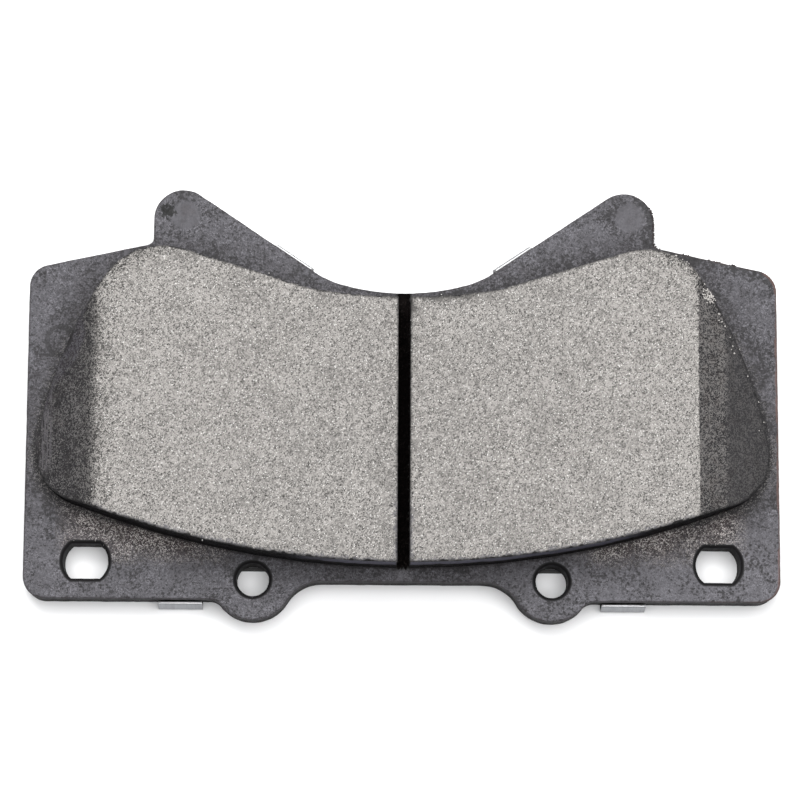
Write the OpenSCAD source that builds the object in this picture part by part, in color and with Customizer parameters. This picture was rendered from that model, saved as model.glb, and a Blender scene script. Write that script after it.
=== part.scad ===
// Front brake pad for a four-piston fixed caliper.
// Frame: +X along the pad, +Y towards the hub (inner radius), +Z out of the friction face.
// Origin: middle of the pad in X and Y, on the rear face of the outer shim.

/* [Backing plate] */
// Length of the backing plate between its two abutment ends
plate_w = 152; // [148:0.5:156]
// Height of the backing plate from its lowest lobe to the tips of its ears
plate_h = 88; // [87:0.5:90]
// Thickness of the backing plate
plate_t = 6; // [5:0.25:7]
// Half of the width across the outer sides of the two ears
ear_side_x = 51; // [50:0.5:52]
// Radius of the rounded ear tips
ear_r = 6; // [5:0.25:6.5]
// Slope of the edge that runs from each ear down into the saddle, in degrees
ear_slope = 34; // [32:1:36]
// Height of the shoulder line where it meets the side of an ear
shoulder_y = 32.8; // [32:0.2:33.6]
// Fall of the shoulder line from the ear to the end of the plate, in degrees
shoulder_fall = 12.3; // [11:0.1:13.5]
// Radius of the four end corners
end_corner_r = 4.5; // [3:0.25:5.5]
// Distance of the lower straight edge of each end below the middle of the plate
lower_edge_y = 39.9; // [39.4:0.1:40.3]
// Distance of the lower edge between the two lobes below the middle of the plate
middle_edge_y = 36.2; // [35.8:0.1:36.6]
// Radius of the saddle between the ears
plate_saddle_r = 47; // [46:0.5:48]
// Half of the angle over which the saddle is round, in degrees
plate_saddle_turn = 16; // [15:0.5:17]
// Radius of the blend from the saddle to the slope of an ear
plate_blend_r = 18; // [16:0.5:20]
// Radius of the notch between each ear and its shoulder
notch_r = 1.5; // [1:0.1:2]
// Radius of the blend on the outer side of each lobe
lobe_outer_fillet = 3; // [2:0.25:3.5]
// Radius of the blend on the inner side of each lobe
lobe_inner_fillet = 8; // [6:0.5:9]

/* [Holes] */
// Distance between the two round pin holes
pin_hole_spacing = 60; // [58:0.5:62]
// Diameter of the round pin holes
pin_hole_d = 6.5; // [6:0.1:7]
// Distance of the round holes below the middle of the plate
pin_hole_drop = 35.85; // [35.6:0.05:36.1]
// Distance between the two flatted retainer holes
flat_hole_spacing = 127; // [126:0.5:128]
// Diameter of the round sides of the retainer holes
flat_hole_d = 9; // [8.4:0.1:9.4]
// Distance between the two flats of a retainer hole
flat_hole_flats = 7; // [6.4:0.1:7.4]
// Distance of the retainer holes below the middle of the plate
flat_hole_drop = 32.35; // [32:0.05:32.7]
// Depth and width of the lead-in round each hole on the friction side
lead_in = 0.7; // [0.4:0.05:0.8]

/* [Friction material] */
// Height of the friction face above the plate
face_h = 10.8; // [10:0.1:12]
// Thickness of the softer underlayer below the friction material
underlayer_t = 2; // [1.5:0.1:2.2]
// Thickness of the cured adhesive film on the plate
bond_t = 0.15; // [0.1:0.01:0.2]
// Width of the slot between the two friction blocks
slot_w = 2.4; // [2:0.1:3]
// Distance from the slot's middle to the start of the left chamfer
chamfer_left_x = 61.8; // [60:0.2:63]
// Angle of the left chamfer to the face, in degrees
chamfer_left_angle = 36; // [30:1:38]
// Distance from the slot's middle to the start of the right chamfer
chamfer_right_x = 58.7; // [57:0.1:61]
// Angle of the right chamfer to the face, in degrees
chamfer_right_angle = 29; // [26:1:31]
// Radius of the concave edge of the blocks beside the slot
block_saddle_r = 120; // [110:1:130]
// Angle over which that edge is round, in degrees
block_saddle_turn = 8.15; // [7.8:0.05:8.4]
// Radius of the blend from that edge to the straight slope
block_blend_r = 20; // [16:1:24]
// Slope of the upper edge of the blocks, in degrees
block_slope = 17.2; // [16.8:0.1:17.6]
// Radius of the upper outer corner of the blocks
top_corner_r = 13.6; // [13:0.1:14]
// Distance of that corner's middle from the slot
top_corner_x = 48.5; // [48:0.1:49]
// Height of that corner's middle above the middle of the plate
top_corner_y = 16.5; // [16:0.1:17]
// Radius of the lower outer corner of the blocks
low_corner_r = 11.5; // [11:0.1:12]
// Distance of that corner's middle from the slot
low_corner_x = 62.3; // [61.8:0.1:62.6]
// Distance of that corner's middle below the middle of the plate
low_corner_drop = 10.2; // [9.8:0.1:10.6]
// Radius of the outer side of the blocks
side_r = 82; // [76:1:90]
// Radius of the long lower edge of the blocks
bottom_r = 184; // [180:1:188]
// Diameter of the anchoring holes in the plate, filled by the underlayer
anchor_d = 9; // [7:0.5:10]
// Distance of the inner anchoring hole from the slot
anchor_inner_x = 20; // [18:0.5:22]
// Distance of the inner anchoring hole below the middle of the plate
anchor_inner_drop = 6; // [4:0.5:8]
// Distance of the outer anchoring hole from the slot
anchor_outer_x = 46; // [44:0.5:48]
// Height of the outer anchoring hole above the middle of the plate
anchor_outer_y = 1; // [-1:0.5:3]

/* [Shims] */
// Thickness of the stainless outer shim
outer_shim_t = 0.4; // [0.3:0.05:0.5]
// Thickness of the steel core of the inner shim
core_t = 0.5; // [0.4:0.05:0.6]
// Thickness of each rubber layer on the inner shim
rubber_t = 0.15; // [0.1:0.01:0.2]
// Margin between the edge of the outer shim and the edge of the plate at the ears
shim_inset = 1; // [0.8:0.1:1.5]
// Further margin of the inner shim inside the outer one
inner_shim_inset = 0.8; // [0.5:0.1:1.2]
// Half of the width of the outer shim
shim_half_w = 65; // [62:0.5:67]
// Distance of the lower edge of the outer shim below the middle of the plate
shim_low_y = 33.5; // [33.3:0.05:33.8]
// Radius of the outer corners of the shims
shim_corner_r = 5; // [4:0.25:6]
// Distance below the middle of the plate at which the ends of the shims start to lean in
shim_lean_drop = 14; // [12:0.5:16]
// How far the lower corners of the shims stand in from their ends
shim_lean_in = 9; // [7:0.5:11]
// Distance of each window in the outer shim from the middle
window_x = 33; // [31:0.5:35]
// Half of the width of each window
window_r = 7; // [5:0.5:8]
// Length of the straight sides of each window
window_run = 15; // [11:0.5:18]
// Distance of each lower clip tab from the middle
low_tab_x = 44.6; // [43.6:0.1:45.6]
// Distance of each upper clip tab from the middle
slope_tab_x = 22.8; // [21.8:0.1:23.8]
// Inner radius of the bend at the foot of each clip tab
bend_inner_r = 0.6; // [0.4:0.05:0.8]
// Width of each clip tab
tab_w = 8.9; // [7:0.1:9.5]
// Height of each clip tab above the rear face
tab_h = 4.7; // [4:0.1:5.5]
// Lean of each clip tab towards the plate, in degrees
tab_lean = 13; // [8:1:16]
// Gap between the tip of a clip tab and the edge of the plate
tab_gap = 0.2; // [0.1:0.05:0.4]

/* [Hidden] */
$fn = 64;
over = 0.5;             // how far a cutter runs past the surface that it cuts

// Levels through the stack, from the rear face up
rear_rubber_z = outer_shim_t;
core_z = rear_rubber_z + rubber_t;
front_rubber_z = core_z + core_t;
plate_z = front_rubber_z + rubber_t;
bond_z = plate_z + plate_t;
underlayer_z = bond_z + bond_t;
friction_z = underlayer_z + underlayer_t;
face_z = bond_z + face_h;

// Points along an arc about c, from angle a0 to angle a1, a step of about 3 degrees
function arc(c, r, a0, a1) =
    let (steps = max(1, ceil(abs(a1 - a0) / 3)))
    [for (i = [0:steps]) let (a = a0 + (a1 - a0) * i / steps) c + r * [cos(a), sin(a)]];

// Angle of the direction from p to q
function heading(p, q) = atan2(q[1] - p[1], q[0] - p[0]);

// The left or right meeting point of two circles, seen from the first centre
function meet(c1, r1, c2, r2, side) =
    let (d = norm(c2 - c1))
    let (along = (d * d + r1 * r1 - r2 * r2) / (2 * d))
    let (across = sqrt(r1 * r1 - along * along))
    let (u = (c2 - c1) / d)
    c1 + along * u + side * across * [-u[1], u[0]];

// A half outline and its mirror image as one closed outline
function both_halves(half) =
    concat(half, [for (i = [len(half) - 1:-1:0]) [-half[i][0], half[i][1]]]);

// The saddle: a long arc over +-turn, then a blend up to a straight run at slope that touches
// the round corner of radius r about c. saddle_rise is where that blend ends.
function saddle_rise(big_r, turn, blend_r, slope) =
    big_r * [sin(turn), 1 - cos(turn)]
    + blend_r * [sin(slope) - sin(turn), cos(turn) - cos(slope)];
function saddle_level(c, r, rise, slope) =
    c[1] + r / cos(slope) - tan(slope) * (c[0] - rise[0]) - rise[1];
function saddle_edge(level, big_r, turn, blend_r, slope, from_x, inset) =
    let (big_c = [0, level + big_r])
    let (blend_c = big_c + (big_r - blend_r) * [sin(turn), -cos(turn)])
    let (start = asin(from_x / (big_r + inset)))
    concat(arc(big_c, big_r + inset, start - 90, turn - 90),
           arc(blend_c, blend_r + inset, turn - 90, slope - 90));

// Plate outline, right half
lobe_r = plate_h / 2 - pin_hole_drop;
ear_c = [ear_side_x - ear_r, plate_h / 2 - ear_r];
plate_rise = saddle_rise(plate_saddle_r, plate_saddle_turn, plate_blend_r, ear_slope);
plate_saddle_y = saddle_level(ear_c, ear_r, plate_rise, ear_slope);
function shoulder_at(x) = shoulder_y - tan(shoulder_fall) * (x - ear_side_x);
notch_c = [ear_side_x + notch_r, shoulder_at(ear_side_x + notch_r) + notch_r / cos(shoulder_fall)];
lobe_c = [pin_hole_spacing / 2, -pin_hole_drop];
outer_fillet_y = -lower_edge_y - lobe_outer_fillet;
inner_fillet_y = -middle_edge_y - lobe_inner_fillet;
// How far to the side of the lobe a fillet's centre lies, for its radius and height
function fillet_run(r, y) = sqrt(pow(lobe_r + r, 2) - pow(lobe_c[1] - y, 2));
outer_fillet_c = [lobe_c[0] + fillet_run(lobe_outer_fillet, outer_fillet_y), outer_fillet_y];
inner_fillet_c = [lobe_c[0] - fillet_run(lobe_inner_fillet, inner_fillet_y), inner_fillet_y];

// The edge from the middle of the saddle over the ear and into the notch beside it
function upper_edge(inset) = concat(
    saddle_edge(plate_saddle_y, plate_saddle_r, plate_saddle_turn, plate_blend_r,
                ear_slope, 0, inset),
    arc(ear_c, ear_r - inset, 90 + ear_slope, 0),
    arc(notch_c, notch_r + inset, 180, 270 - shoulder_fall));

// A corner of radius r below the shoulder line, its outer side at x
function shoulder_corner(x, r, inset) =
    let (c = [x - r, shoulder_at(x - r) - (r + inset) / cos(shoulder_fall)])
    arc(c, r, 90 - shoulder_fall, 0);

plate_half = concat(
    upper_edge(0),
    shoulder_corner(plate_w / 2, end_corner_r, 0),
    arc([plate_w / 2 - end_corner_r, -lower_edge_y + end_corner_r], end_corner_r, 0, -90),
    arc(outer_fillet_c, lobe_outer_fillet, 90, heading(outer_fillet_c, lobe_c)),
    arc(lobe_c, lobe_r, heading(lobe_c, outer_fillet_c), heading(lobe_c, inner_fillet_c)),
    arc(inner_fillet_c, lobe_inner_fillet, heading(inner_fillet_c, lobe_c), 90));

// Friction block outline, right half, out from the slot
top_corner_c = [top_corner_x, top_corner_y];
low_corner_c = [low_corner_x, -low_corner_drop];
block_rise = saddle_rise(block_saddle_r, block_saddle_turn, block_blend_r, block_slope);
block_saddle_y = saddle_level(top_corner_c, top_corner_r, block_rise, block_slope);
side_c = meet(top_corner_c, side_r - top_corner_r, low_corner_c, side_r - low_corner_r, -1);
bottom_c = [0, low_corner_c[1] + sqrt(pow(bottom_r - low_corner_r, 2) - pow(low_corner_c[0], 2))];
block_half = concat(
    saddle_edge(block_saddle_y, block_saddle_r, block_saddle_turn, block_blend_r,
                block_slope, slot_w / 2, 0),
    arc(top_corner_c, top_corner_r, 90 + block_slope, heading(side_c, top_corner_c)),
    arc(side_c, side_r, heading(side_c, top_corner_c), heading(side_c, low_corner_c)),
    arc(low_corner_c, low_corner_r, heading(side_c, low_corner_c), heading(bottom_c, low_corner_c)),
    arc(bottom_c, bottom_r, heading(bottom_c, low_corner_c), asin(slot_w / 2 / bottom_r) - 90));

// Anchoring holes of the right half, mirrored for the left half
anchor_places = [[anchor_inner_x, -anchor_inner_drop], [anchor_outer_x, anchor_outer_y]];

// Shim outline, right half: corner circles at the lower outer end
function shim_half(inset) =
    let (r = shim_corner_r)
    let (side_x = shim_half_w - inset + shim_inset)
    let (upper_c = [side_x - r, -shim_lean_drop])
    let (lower_c = [side_x - r - shim_lean_in, -shim_low_y + r + inset - shim_inset])
    let (lean = heading(upper_c, lower_c) + 90)
    concat(upper_edge(inset),
           shoulder_corner(side_x, r, inset),
           arc(upper_c, r, 0, lean),
           arc(lower_c, r, lean, -90));

// Clip tabs: bend radii, and where the tabs stand along the edges
bend_r = bend_inner_r + outer_shim_t;
tab_rise = (tab_h - bend_r - bend_inner_r * sin(tab_lean)) / cos(tab_lean);
bend_u = tab_gap - bend_inner_r * cos(tab_lean) + tab_rise * sin(tab_lean);
slope_foot = [plate_rise[0], plate_saddle_y + plate_rise[1]];
slope_tab_y = slope_foot[1] + (slope_tab_x - slope_foot[0]) * tan(ear_slope);
shim_margin = lower_edge_y - shim_low_y;    // width of the plate left bare along its lower edge
tab_root = shim_margin + 2.1;               // length of the strip that carries a low tab
slope_tab_root = shim_inset + 1.5;          // the same for a tab on an ear slope

// Section through a clip tab: u runs out from the plate's edge, v up from the rear face
function tab_section(root) = concat(
    [[-root, 0]],
    arc([bend_u, bend_r], bend_r, -90, tab_lean),
    [[tab_gap + outer_shim_t * cos(tab_lean), tab_h + outer_shim_t * sin(tab_lean)],
     [tab_gap, tab_h]],
    arc([bend_u, bend_r], bend_inner_r, tab_lean, -90),
    [[-root, outer_shim_t]]);

// A slab of the given outline between two levels
module slab(outline, z, t) {
    translate([0, 0, z])
        linear_extrude(height = t)
            polygon(outline);
}

// Copies its children to both sides of the middle plane
module mirrored_pair() {
    children();
    mirror([1, 0, 0]) children();
}

// The anchoring holes of one half, as rods between two levels
module anchors(z, t) {
    for (place = anchor_places)
        translate([place[0], place[1], z])
            cylinder(d = anchor_d, h = t);
}

// A round pin hole with a lead-in at the friction side
module pin_hole_cutter() {
    translate([lobe_c[0], lobe_c[1], 0]) {
        translate([0, 0, plate_z - over])
            cylinder(d = pin_hole_d, h = plate_t + 2 * over);
        translate([0, 0, bond_z - lead_in])
            cylinder(r1 = pin_hole_d / 2, r2 = pin_hole_d / 2 + 2 * lead_in, h = 2 * lead_in);
    }
}

// A retainer hole: a round hole with an upper and a lower flat, and a lead-in
module flat_hole_cutter() {
    r = flat_hole_d / 2;
    half = flat_hole_flats / 2;
    translate([flat_hole_spacing / 2, -flat_hole_drop, 0]) {
        intersection() {
            translate([0, 0, plate_z - over])
                cylinder(r = r, h = plate_t + 2 * over);
            translate([-r - over, -half, plate_z - 2 * over])
                cube([2 * (r + over), 2 * half, plate_t + 4 * over]);
        }
        intersection() {
            translate([0, 0, bond_z - lead_in])
                cylinder(r1 = r, r2 = r + 2 * lead_in, h = 2 * lead_in);
            translate([-2 * r, 0, bond_z - lead_in])
                rotate([90, 0, 90])
                    linear_extrude(height = 4 * r)
                        polygon([[-half, -over], [half, -over], [half, 0],
                                 [half + 3 * lead_in, 3 * lead_in],
                                 [-half - 3 * lead_in, 3 * lead_in], [-half, 0]]);
        }
    }
}

module backing_plate() {
    color("#6b6a70")
        difference() {
            slab(both_halves(plate_half), plate_z, plate_t);
            mirrored_pair() {
                pin_hole_cutter();
                flat_hole_cutter();
                anchors(plate_z - over, plate_t + 2 * over);
            }
        }
}

// Everything past the chamfer plane that starts at x on the face, on the right side
module chamfer_cutter(x, angle) {
    reach = 40;
    translate([x, 0, face_z])
        rotate([0, angle, 0])
            translate([-over, -reach, 0])
                cube([reach, 2 * reach, reach]);
}

module bond_film() {
    difference() {
        slab(block_half, bond_z, bond_t);
        anchors(bond_z - over, bond_t + 2 * over);
    }
}

module underlayer(chamfer_x, chamfer_angle) {
    difference() {
        union() {
            slab(block_half, underlayer_z, underlayer_t);
            anchors(plate_z, underlayer_z + underlayer_t / 2 - plate_z);
        }
        chamfer_cutter(chamfer_x, chamfer_angle);
    }
}

module friction(chamfer_x, chamfer_angle) {
    difference() {
        slab(block_half, friction_z, face_z - friction_z);
        chamfer_cutter(chamfer_x, chamfer_angle);
    }
}

module bond_film_right() {
    color("#7a5a38") bond_film();
}

module bond_film_left() {
    color("#7a5a38") mirror([1, 0, 0]) bond_film();
}

module underlayer_right() {
    color("#55565e") underlayer(chamfer_right_x, chamfer_right_angle);
}

module underlayer_left() {
    color("#55565e") mirror([1, 0, 0]) underlayer(chamfer_left_x, chamfer_left_angle);
}

module friction_right() {
    color("#aca9a5") friction(chamfer_right_x, chamfer_right_angle);
}

module friction_left() {
    color("#aca9a5") mirror([1, 0, 0]) friction(chamfer_left_x, chamfer_left_angle);
}

module inner_shim_layer(z, t) {
    slab(both_halves(shim_half(shim_inset + inner_shim_inset)), z, t);
}

module inner_shim_front_rubber() {
    color("#1d1d1f") inner_shim_layer(front_rubber_z, rubber_t);
}

module inner_shim_core() {
    color("#9a9ca0") inner_shim_layer(core_z, core_t);
}

module inner_shim_rear_rubber() {
    color("#1d1d1f") inner_shim_layer(rear_rubber_z, rubber_t);
}

// A clip tab that stands past an edge, at the origin, with +Y pointing out of the plate
module clip_tab(root) {
    translate([-tab_w / 2, 0, 0])
        rotate([90, 0, 90])
            linear_extrude(height = tab_w)
                polygon(tab_section(root));
}

module window_cutter() {
    for (side = [-1, 1])
        translate([window_x, side * window_run / 2, -over])
            cylinder(r = window_r, h = outer_shim_t + 2 * over);
    translate([window_x - window_r, -window_run / 2, -over])
        cube([2 * window_r, window_run, outer_shim_t + 2 * over]);
}

module outer_shim() {
    color("#b9bcc0")
        difference() {
            union() {
                slab(both_halves(shim_half(shim_inset)), 0, outer_shim_t);
                mirrored_pair() {
                    translate([low_tab_x, -lower_edge_y, 0])
                        rotate([0, 0, 180])
                            clip_tab(tab_root);
                    translate([slope_tab_x, slope_tab_y, 0])
                        rotate([0, 0, ear_slope])
                            clip_tab(slope_tab_root);
                }
            }
            mirrored_pair() window_cutter();
        }
}

backing_plate();
bond_film_left();
bond_film_right();
underlayer_left();
underlayer_right();
friction_left();
friction_right();
inner_shim_core();
inner_shim_front_rubber();
inner_shim_rear_rubber();
outer_shim();
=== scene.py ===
import math

import bmesh
import bpy
import numpy as np
from bpy.props import FloatProperty, FloatVectorProperty, IntProperty, PointerProperty
from mathutils import Matrix, Vector, geometry
from mathutils.bvhtree import BVHTree
from mathutils.kdtree import KDTree


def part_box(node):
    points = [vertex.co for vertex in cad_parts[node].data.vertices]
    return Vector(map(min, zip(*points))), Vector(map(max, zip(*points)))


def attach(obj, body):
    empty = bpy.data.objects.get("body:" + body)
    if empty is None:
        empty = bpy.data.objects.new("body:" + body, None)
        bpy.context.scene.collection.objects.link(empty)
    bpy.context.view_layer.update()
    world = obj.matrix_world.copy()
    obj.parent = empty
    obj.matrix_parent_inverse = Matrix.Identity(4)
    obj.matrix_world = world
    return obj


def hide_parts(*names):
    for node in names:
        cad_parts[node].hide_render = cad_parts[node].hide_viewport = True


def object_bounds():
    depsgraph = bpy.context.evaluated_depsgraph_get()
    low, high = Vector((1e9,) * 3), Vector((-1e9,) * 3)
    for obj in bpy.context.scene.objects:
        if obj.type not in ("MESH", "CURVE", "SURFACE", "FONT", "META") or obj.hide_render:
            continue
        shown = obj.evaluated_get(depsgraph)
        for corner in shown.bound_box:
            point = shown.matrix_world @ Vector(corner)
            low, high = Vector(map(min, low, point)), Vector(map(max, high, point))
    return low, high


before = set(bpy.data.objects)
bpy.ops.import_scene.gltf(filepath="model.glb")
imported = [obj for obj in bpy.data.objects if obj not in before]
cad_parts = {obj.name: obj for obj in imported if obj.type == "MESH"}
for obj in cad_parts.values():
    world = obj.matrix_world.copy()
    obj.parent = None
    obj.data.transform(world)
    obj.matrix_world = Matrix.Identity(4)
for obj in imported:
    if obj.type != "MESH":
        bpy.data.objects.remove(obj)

bl_info = {
    "name": "Brake pad",
    "version": (1, 0, 0),
    "blender": (4, 5, 0),
    "location": "View3D > Sidebar > Brake pad",
    "description": "Builds a disc brake pad on its packed frame, with its floor, lights and camera",
    "category": "Add Mesh",
}

MM = 0.001
WELD = 1e-6
CAD_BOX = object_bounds()
BLOCKS = ("friction_left", "friction_right")
FAR = 20.0  # millimetres: stands for a point that is nowhere near an edge
FLOOR_HALF = 1.5  # metres
FULL_TURN = 6.283  # radians
BLACK = (0.003, 0.003, 0.003)
BLACK_GRAIN = (0.004, 0.003, 0.003)
NO_POINTS = np.empty((0, 2))
FACE, WALL, SLOT_SHADE = range(3)  # material slots of a piece


# ---------------------------------------------------------------- settings


def length(name, description, default, low=0.0, high=1.0):
    return FloatProperty(name=name, description=description, default=default, min=low, max=high,
                         unit="LENGTH", subtype="DISTANCE", precision=5)


def colour(name, description, default):
    return FloatVectorProperty(name=name, description=description, default=default, size=3,
                               min=0.0, max=1.0, subtype="COLOR")


class PlateSettings(bpy.types.PropertyGroup):
    """Sizes and colours of the backing plate"""

    step: length("Mesh step", "Spacing of the points on the top of the plate", 0.0007, 0.0003, 0.003)
    edge_roll: length("Edge roll", "How far the pressed edge rounds over", 0.00045, 0.0001, 0.001)
    hole_roll: length("Hole roll", "How far the rim of a hole rounds over", 0.00075, 0.0001, 0.0012)
    coat: colour("Coat", "Colour of the powder coat", (0.063, 0.0610, 0.0685))
    speck: colour("Speck", "Colour of the dark blotches in the coat", (0.011, 0.010, 0.011))
    rust: colour("Rust", "Colour of the thin rusty edges", (0.055, 0.030, 0.021))


class FrictionSettings(bpy.types.PropertyGroup):
    """Sizes and colours of the two friction blocks"""

    step: length("Mesh step", "Spacing of the points on the face", 0.0004, 0.0002, 0.002)
    grain: length("Grain", "Size of the mineral grains in the mix", 0.00025, 0.0001, 0.002)
    edge_round: length("Edge round", "How far the block's edges are rubbed over", 0.00022, 0.0, 0.001)
    chip: length("Chip", "Size of the largest chips along the edges", 0.0009, 0.0, 0.003)
    chips: IntProperty(name="Chips", description="Number of chips along each block's edges",
                       default=220, min=0, max=400)
    relief: length("Relief", "Depth of the rough moulded surfaces", 0.00012, 0.0, 0.0005)
    face: colour("Face", "Colour of the ground face", (0.1405, 0.1340, 0.1275))
    moulded: colour("Moulded", "Colour of the moulded chamfer on the left", (0.0205, 0.0192, 0.0208))
    cut: colour("Cut", "Colour of the ground chamfer on the right", (0.0212, 0.0202, 0.0216))


class LayerSettings(bpy.types.PropertyGroup):
    """Sizes and colours of the layers under the friction blocks"""

    relief: length("Relief", "Depth of the rough side walls", 0.0001, 0.0, 0.0004)
    underlayer: colour("Underlayer", "Colour of the softer layer under the blocks", (0.010, 0.0095, 0.010))
    adhesive: colour("Adhesive", "Colour of the cured adhesive", (0.020, 0.013, 0.009))


class ShimSettings(bpy.types.PropertyGroup):
    """Sizes and colours of the shims on the back of the plate"""

    edge_round: length("Edge round", "Rounding of the cut edges of the clip shim", 0.00004, 0.0, 0.0001)
    steel: colour("Stainless", "Colour of the clip shim", (0.470, 0.480, 0.500))
    core: colour("Core", "Colour of the steel between the rubber layers", (0.330, 0.330, 0.340))
    rubber: colour("Rubber", "Colour of the damping rubber", (0.018, 0.018, 0.019))


class LooseSettings(bpy.types.PropertyGroup):
    """Loose crumbs, grit and flakes"""

    crumb: length("Crumb", "Size of the pale crumbs on the rim of the right block", 0.00026, 0.0001, 0.001)
    crumbs: FloatProperty(name="Crumbs", description="Crumbs on each square millimetre",
                          default=5.0, min=0.0, max=20.0)
    burr: length("Burr", "Size of the crusts of coat on the right ear", 0.00036, 0.0001, 0.001)
    burrs: FloatProperty(name="Burrs", description="Crusts of coat on each square millimetre",
                         default=7.0, min=0.0, max=12.0)
    grit: length("Grit", "Size of the sandy grit on the plate", 0.00013, 0.00005, 0.0005)
    grits: FloatProperty(name="Grits", description="Grains of grit on each square millimetre",
                         default=2.6, min=0.0, max=20.0)
    flake: length("Flake", "Size of the bright flakes in the friction face", 0.00017, 0.00005, 0.0006)
    flakes: FloatProperty(name="Flakes", description="Flakes on each square millimetre",
                          default=0.35, min=0.0, max=10.0)
    seed: IntProperty(name="Seed", description="Changes where the loose pieces lie", default=7, min=0)


class StageSettings(bpy.types.PropertyGroup):
    """Floor, lights and camera"""

    floor: colour("Floor", "Colour of the floor", (0.880, 0.882, 0.890))
    key: FloatProperty(name="Key light", description="Power of the large soft light above the hub side",
                       default=4.2, min=0.0, unit="POWER")
    fill: FloatProperty(name="Fill light", description="Power of the overhead light",
                        default=10.6, min=0.0, unit="POWER")
    sky: FloatProperty(name="Sky", description="Strength of the even light from all round",
                       default=0.55, min=0.0)
    camera: FloatVectorProperty(name="Camera", description="Where the camera stands", size=3,
                                default=(-0.01180, -0.10310, 0.63084), subtype="XYZ", unit="LENGTH")
    target: FloatVectorProperty(name="Target", description="The point the camera looks at", size=3,
                                default=(-0.00067, 0.00080, 0.00720), subtype="XYZ", unit="LENGTH")
    roll: FloatProperty(name="Roll", description="Turn of the camera about its own line of sight",
                        default=math.radians(0.455), subtype="ANGLE")
    lens: FloatProperty(name="Lens", description="Focal length on a 36 mm wide sensor",
                        default=140.68, min=10.0, unit="CAMERA")


# ---------------------------------------------------------------- shapes
# Lengths in this part are in millimetres.


def lattice(cell, seed):
    """A random value from 0 to 1 for each whole-numbered point."""
    key = (cell @ np.array((374761393, 668265263, 83492791)) + seed * 144665) & 0xFFFFFFFF
    key = ((key ^ (key >> 13)) * 1274126177) & 0xFFFFFFFF
    return ((key ^ (key >> 16)) & 0xFFFF) / 65535.0


def ripple(points, size, seed=0):
    """Smooth random values from 0 to 1, with bumps of the given size."""
    place = points / np.asarray(size, float)
    base = np.floor(place).astype(np.int64)
    t = place - base
    t = t * t * (3 - 2 * t)
    total = np.zeros(len(points))
    for corner in np.ndindex(2, 2, 2):
        weight = np.prod(np.where(corner, t, 1 - t), axis=1)
        total += weight * lattice(base + np.array(corner), seed)
    return total


def flat_points(points, z=0.0):
    """Plan points with a height added."""
    points = np.asarray(points, float)
    return np.column_stack([points[:, :2], np.full(len(points), z)])


def edge_loops(node, level, up):
    """Closed edges of a CAD node's flat faces at one level, with the solid on the left of each."""
    shape = bmesh.new()
    shape.from_mesh(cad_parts[node].data)
    bmesh.ops.remove_doubles(shape, verts=shape.verts, dist=WELD)
    shape.normal_update()
    sides = set()
    for face in shape.faces:
        if face.normal.z * up > 0.99 and abs(face.calc_center_median().z / MM - level) < 0.001:
            sides |= {(c.vert.index, c.link_loop_next.vert.index) for c in face.loops}
    shape.verts.ensure_lookup_table()
    after = {a: b for a, b in sides if (b, a) not in sides}
    loops = []
    while after:
        here = min(after)
        chain = []
        while here in after:
            chain.append(tuple(shape.verts[here].co.xy / MM))
            here = after.pop(here)
        loops.append(chain if up > 0 else chain[::-1])
    shape.free()
    if not loops:
        raise ValueError(f"{node} has no flat face at {level} mm")
    return sorted(loops, key=lambda loop: -signed_area(loop))


def signed_area(loop):
    x, y = np.array(loop).T
    return 0.5 * float(np.sum(x * np.roll(y, -1) - y * np.roll(x, -1)))


def tree_of(plan):
    """A search tree over plan points."""
    tree = KDTree(len(plan))
    for i, p in enumerate(plan):
        tree.insert((p[0], p[1], 0.0), i)
    tree.balance()
    return tree


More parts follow.
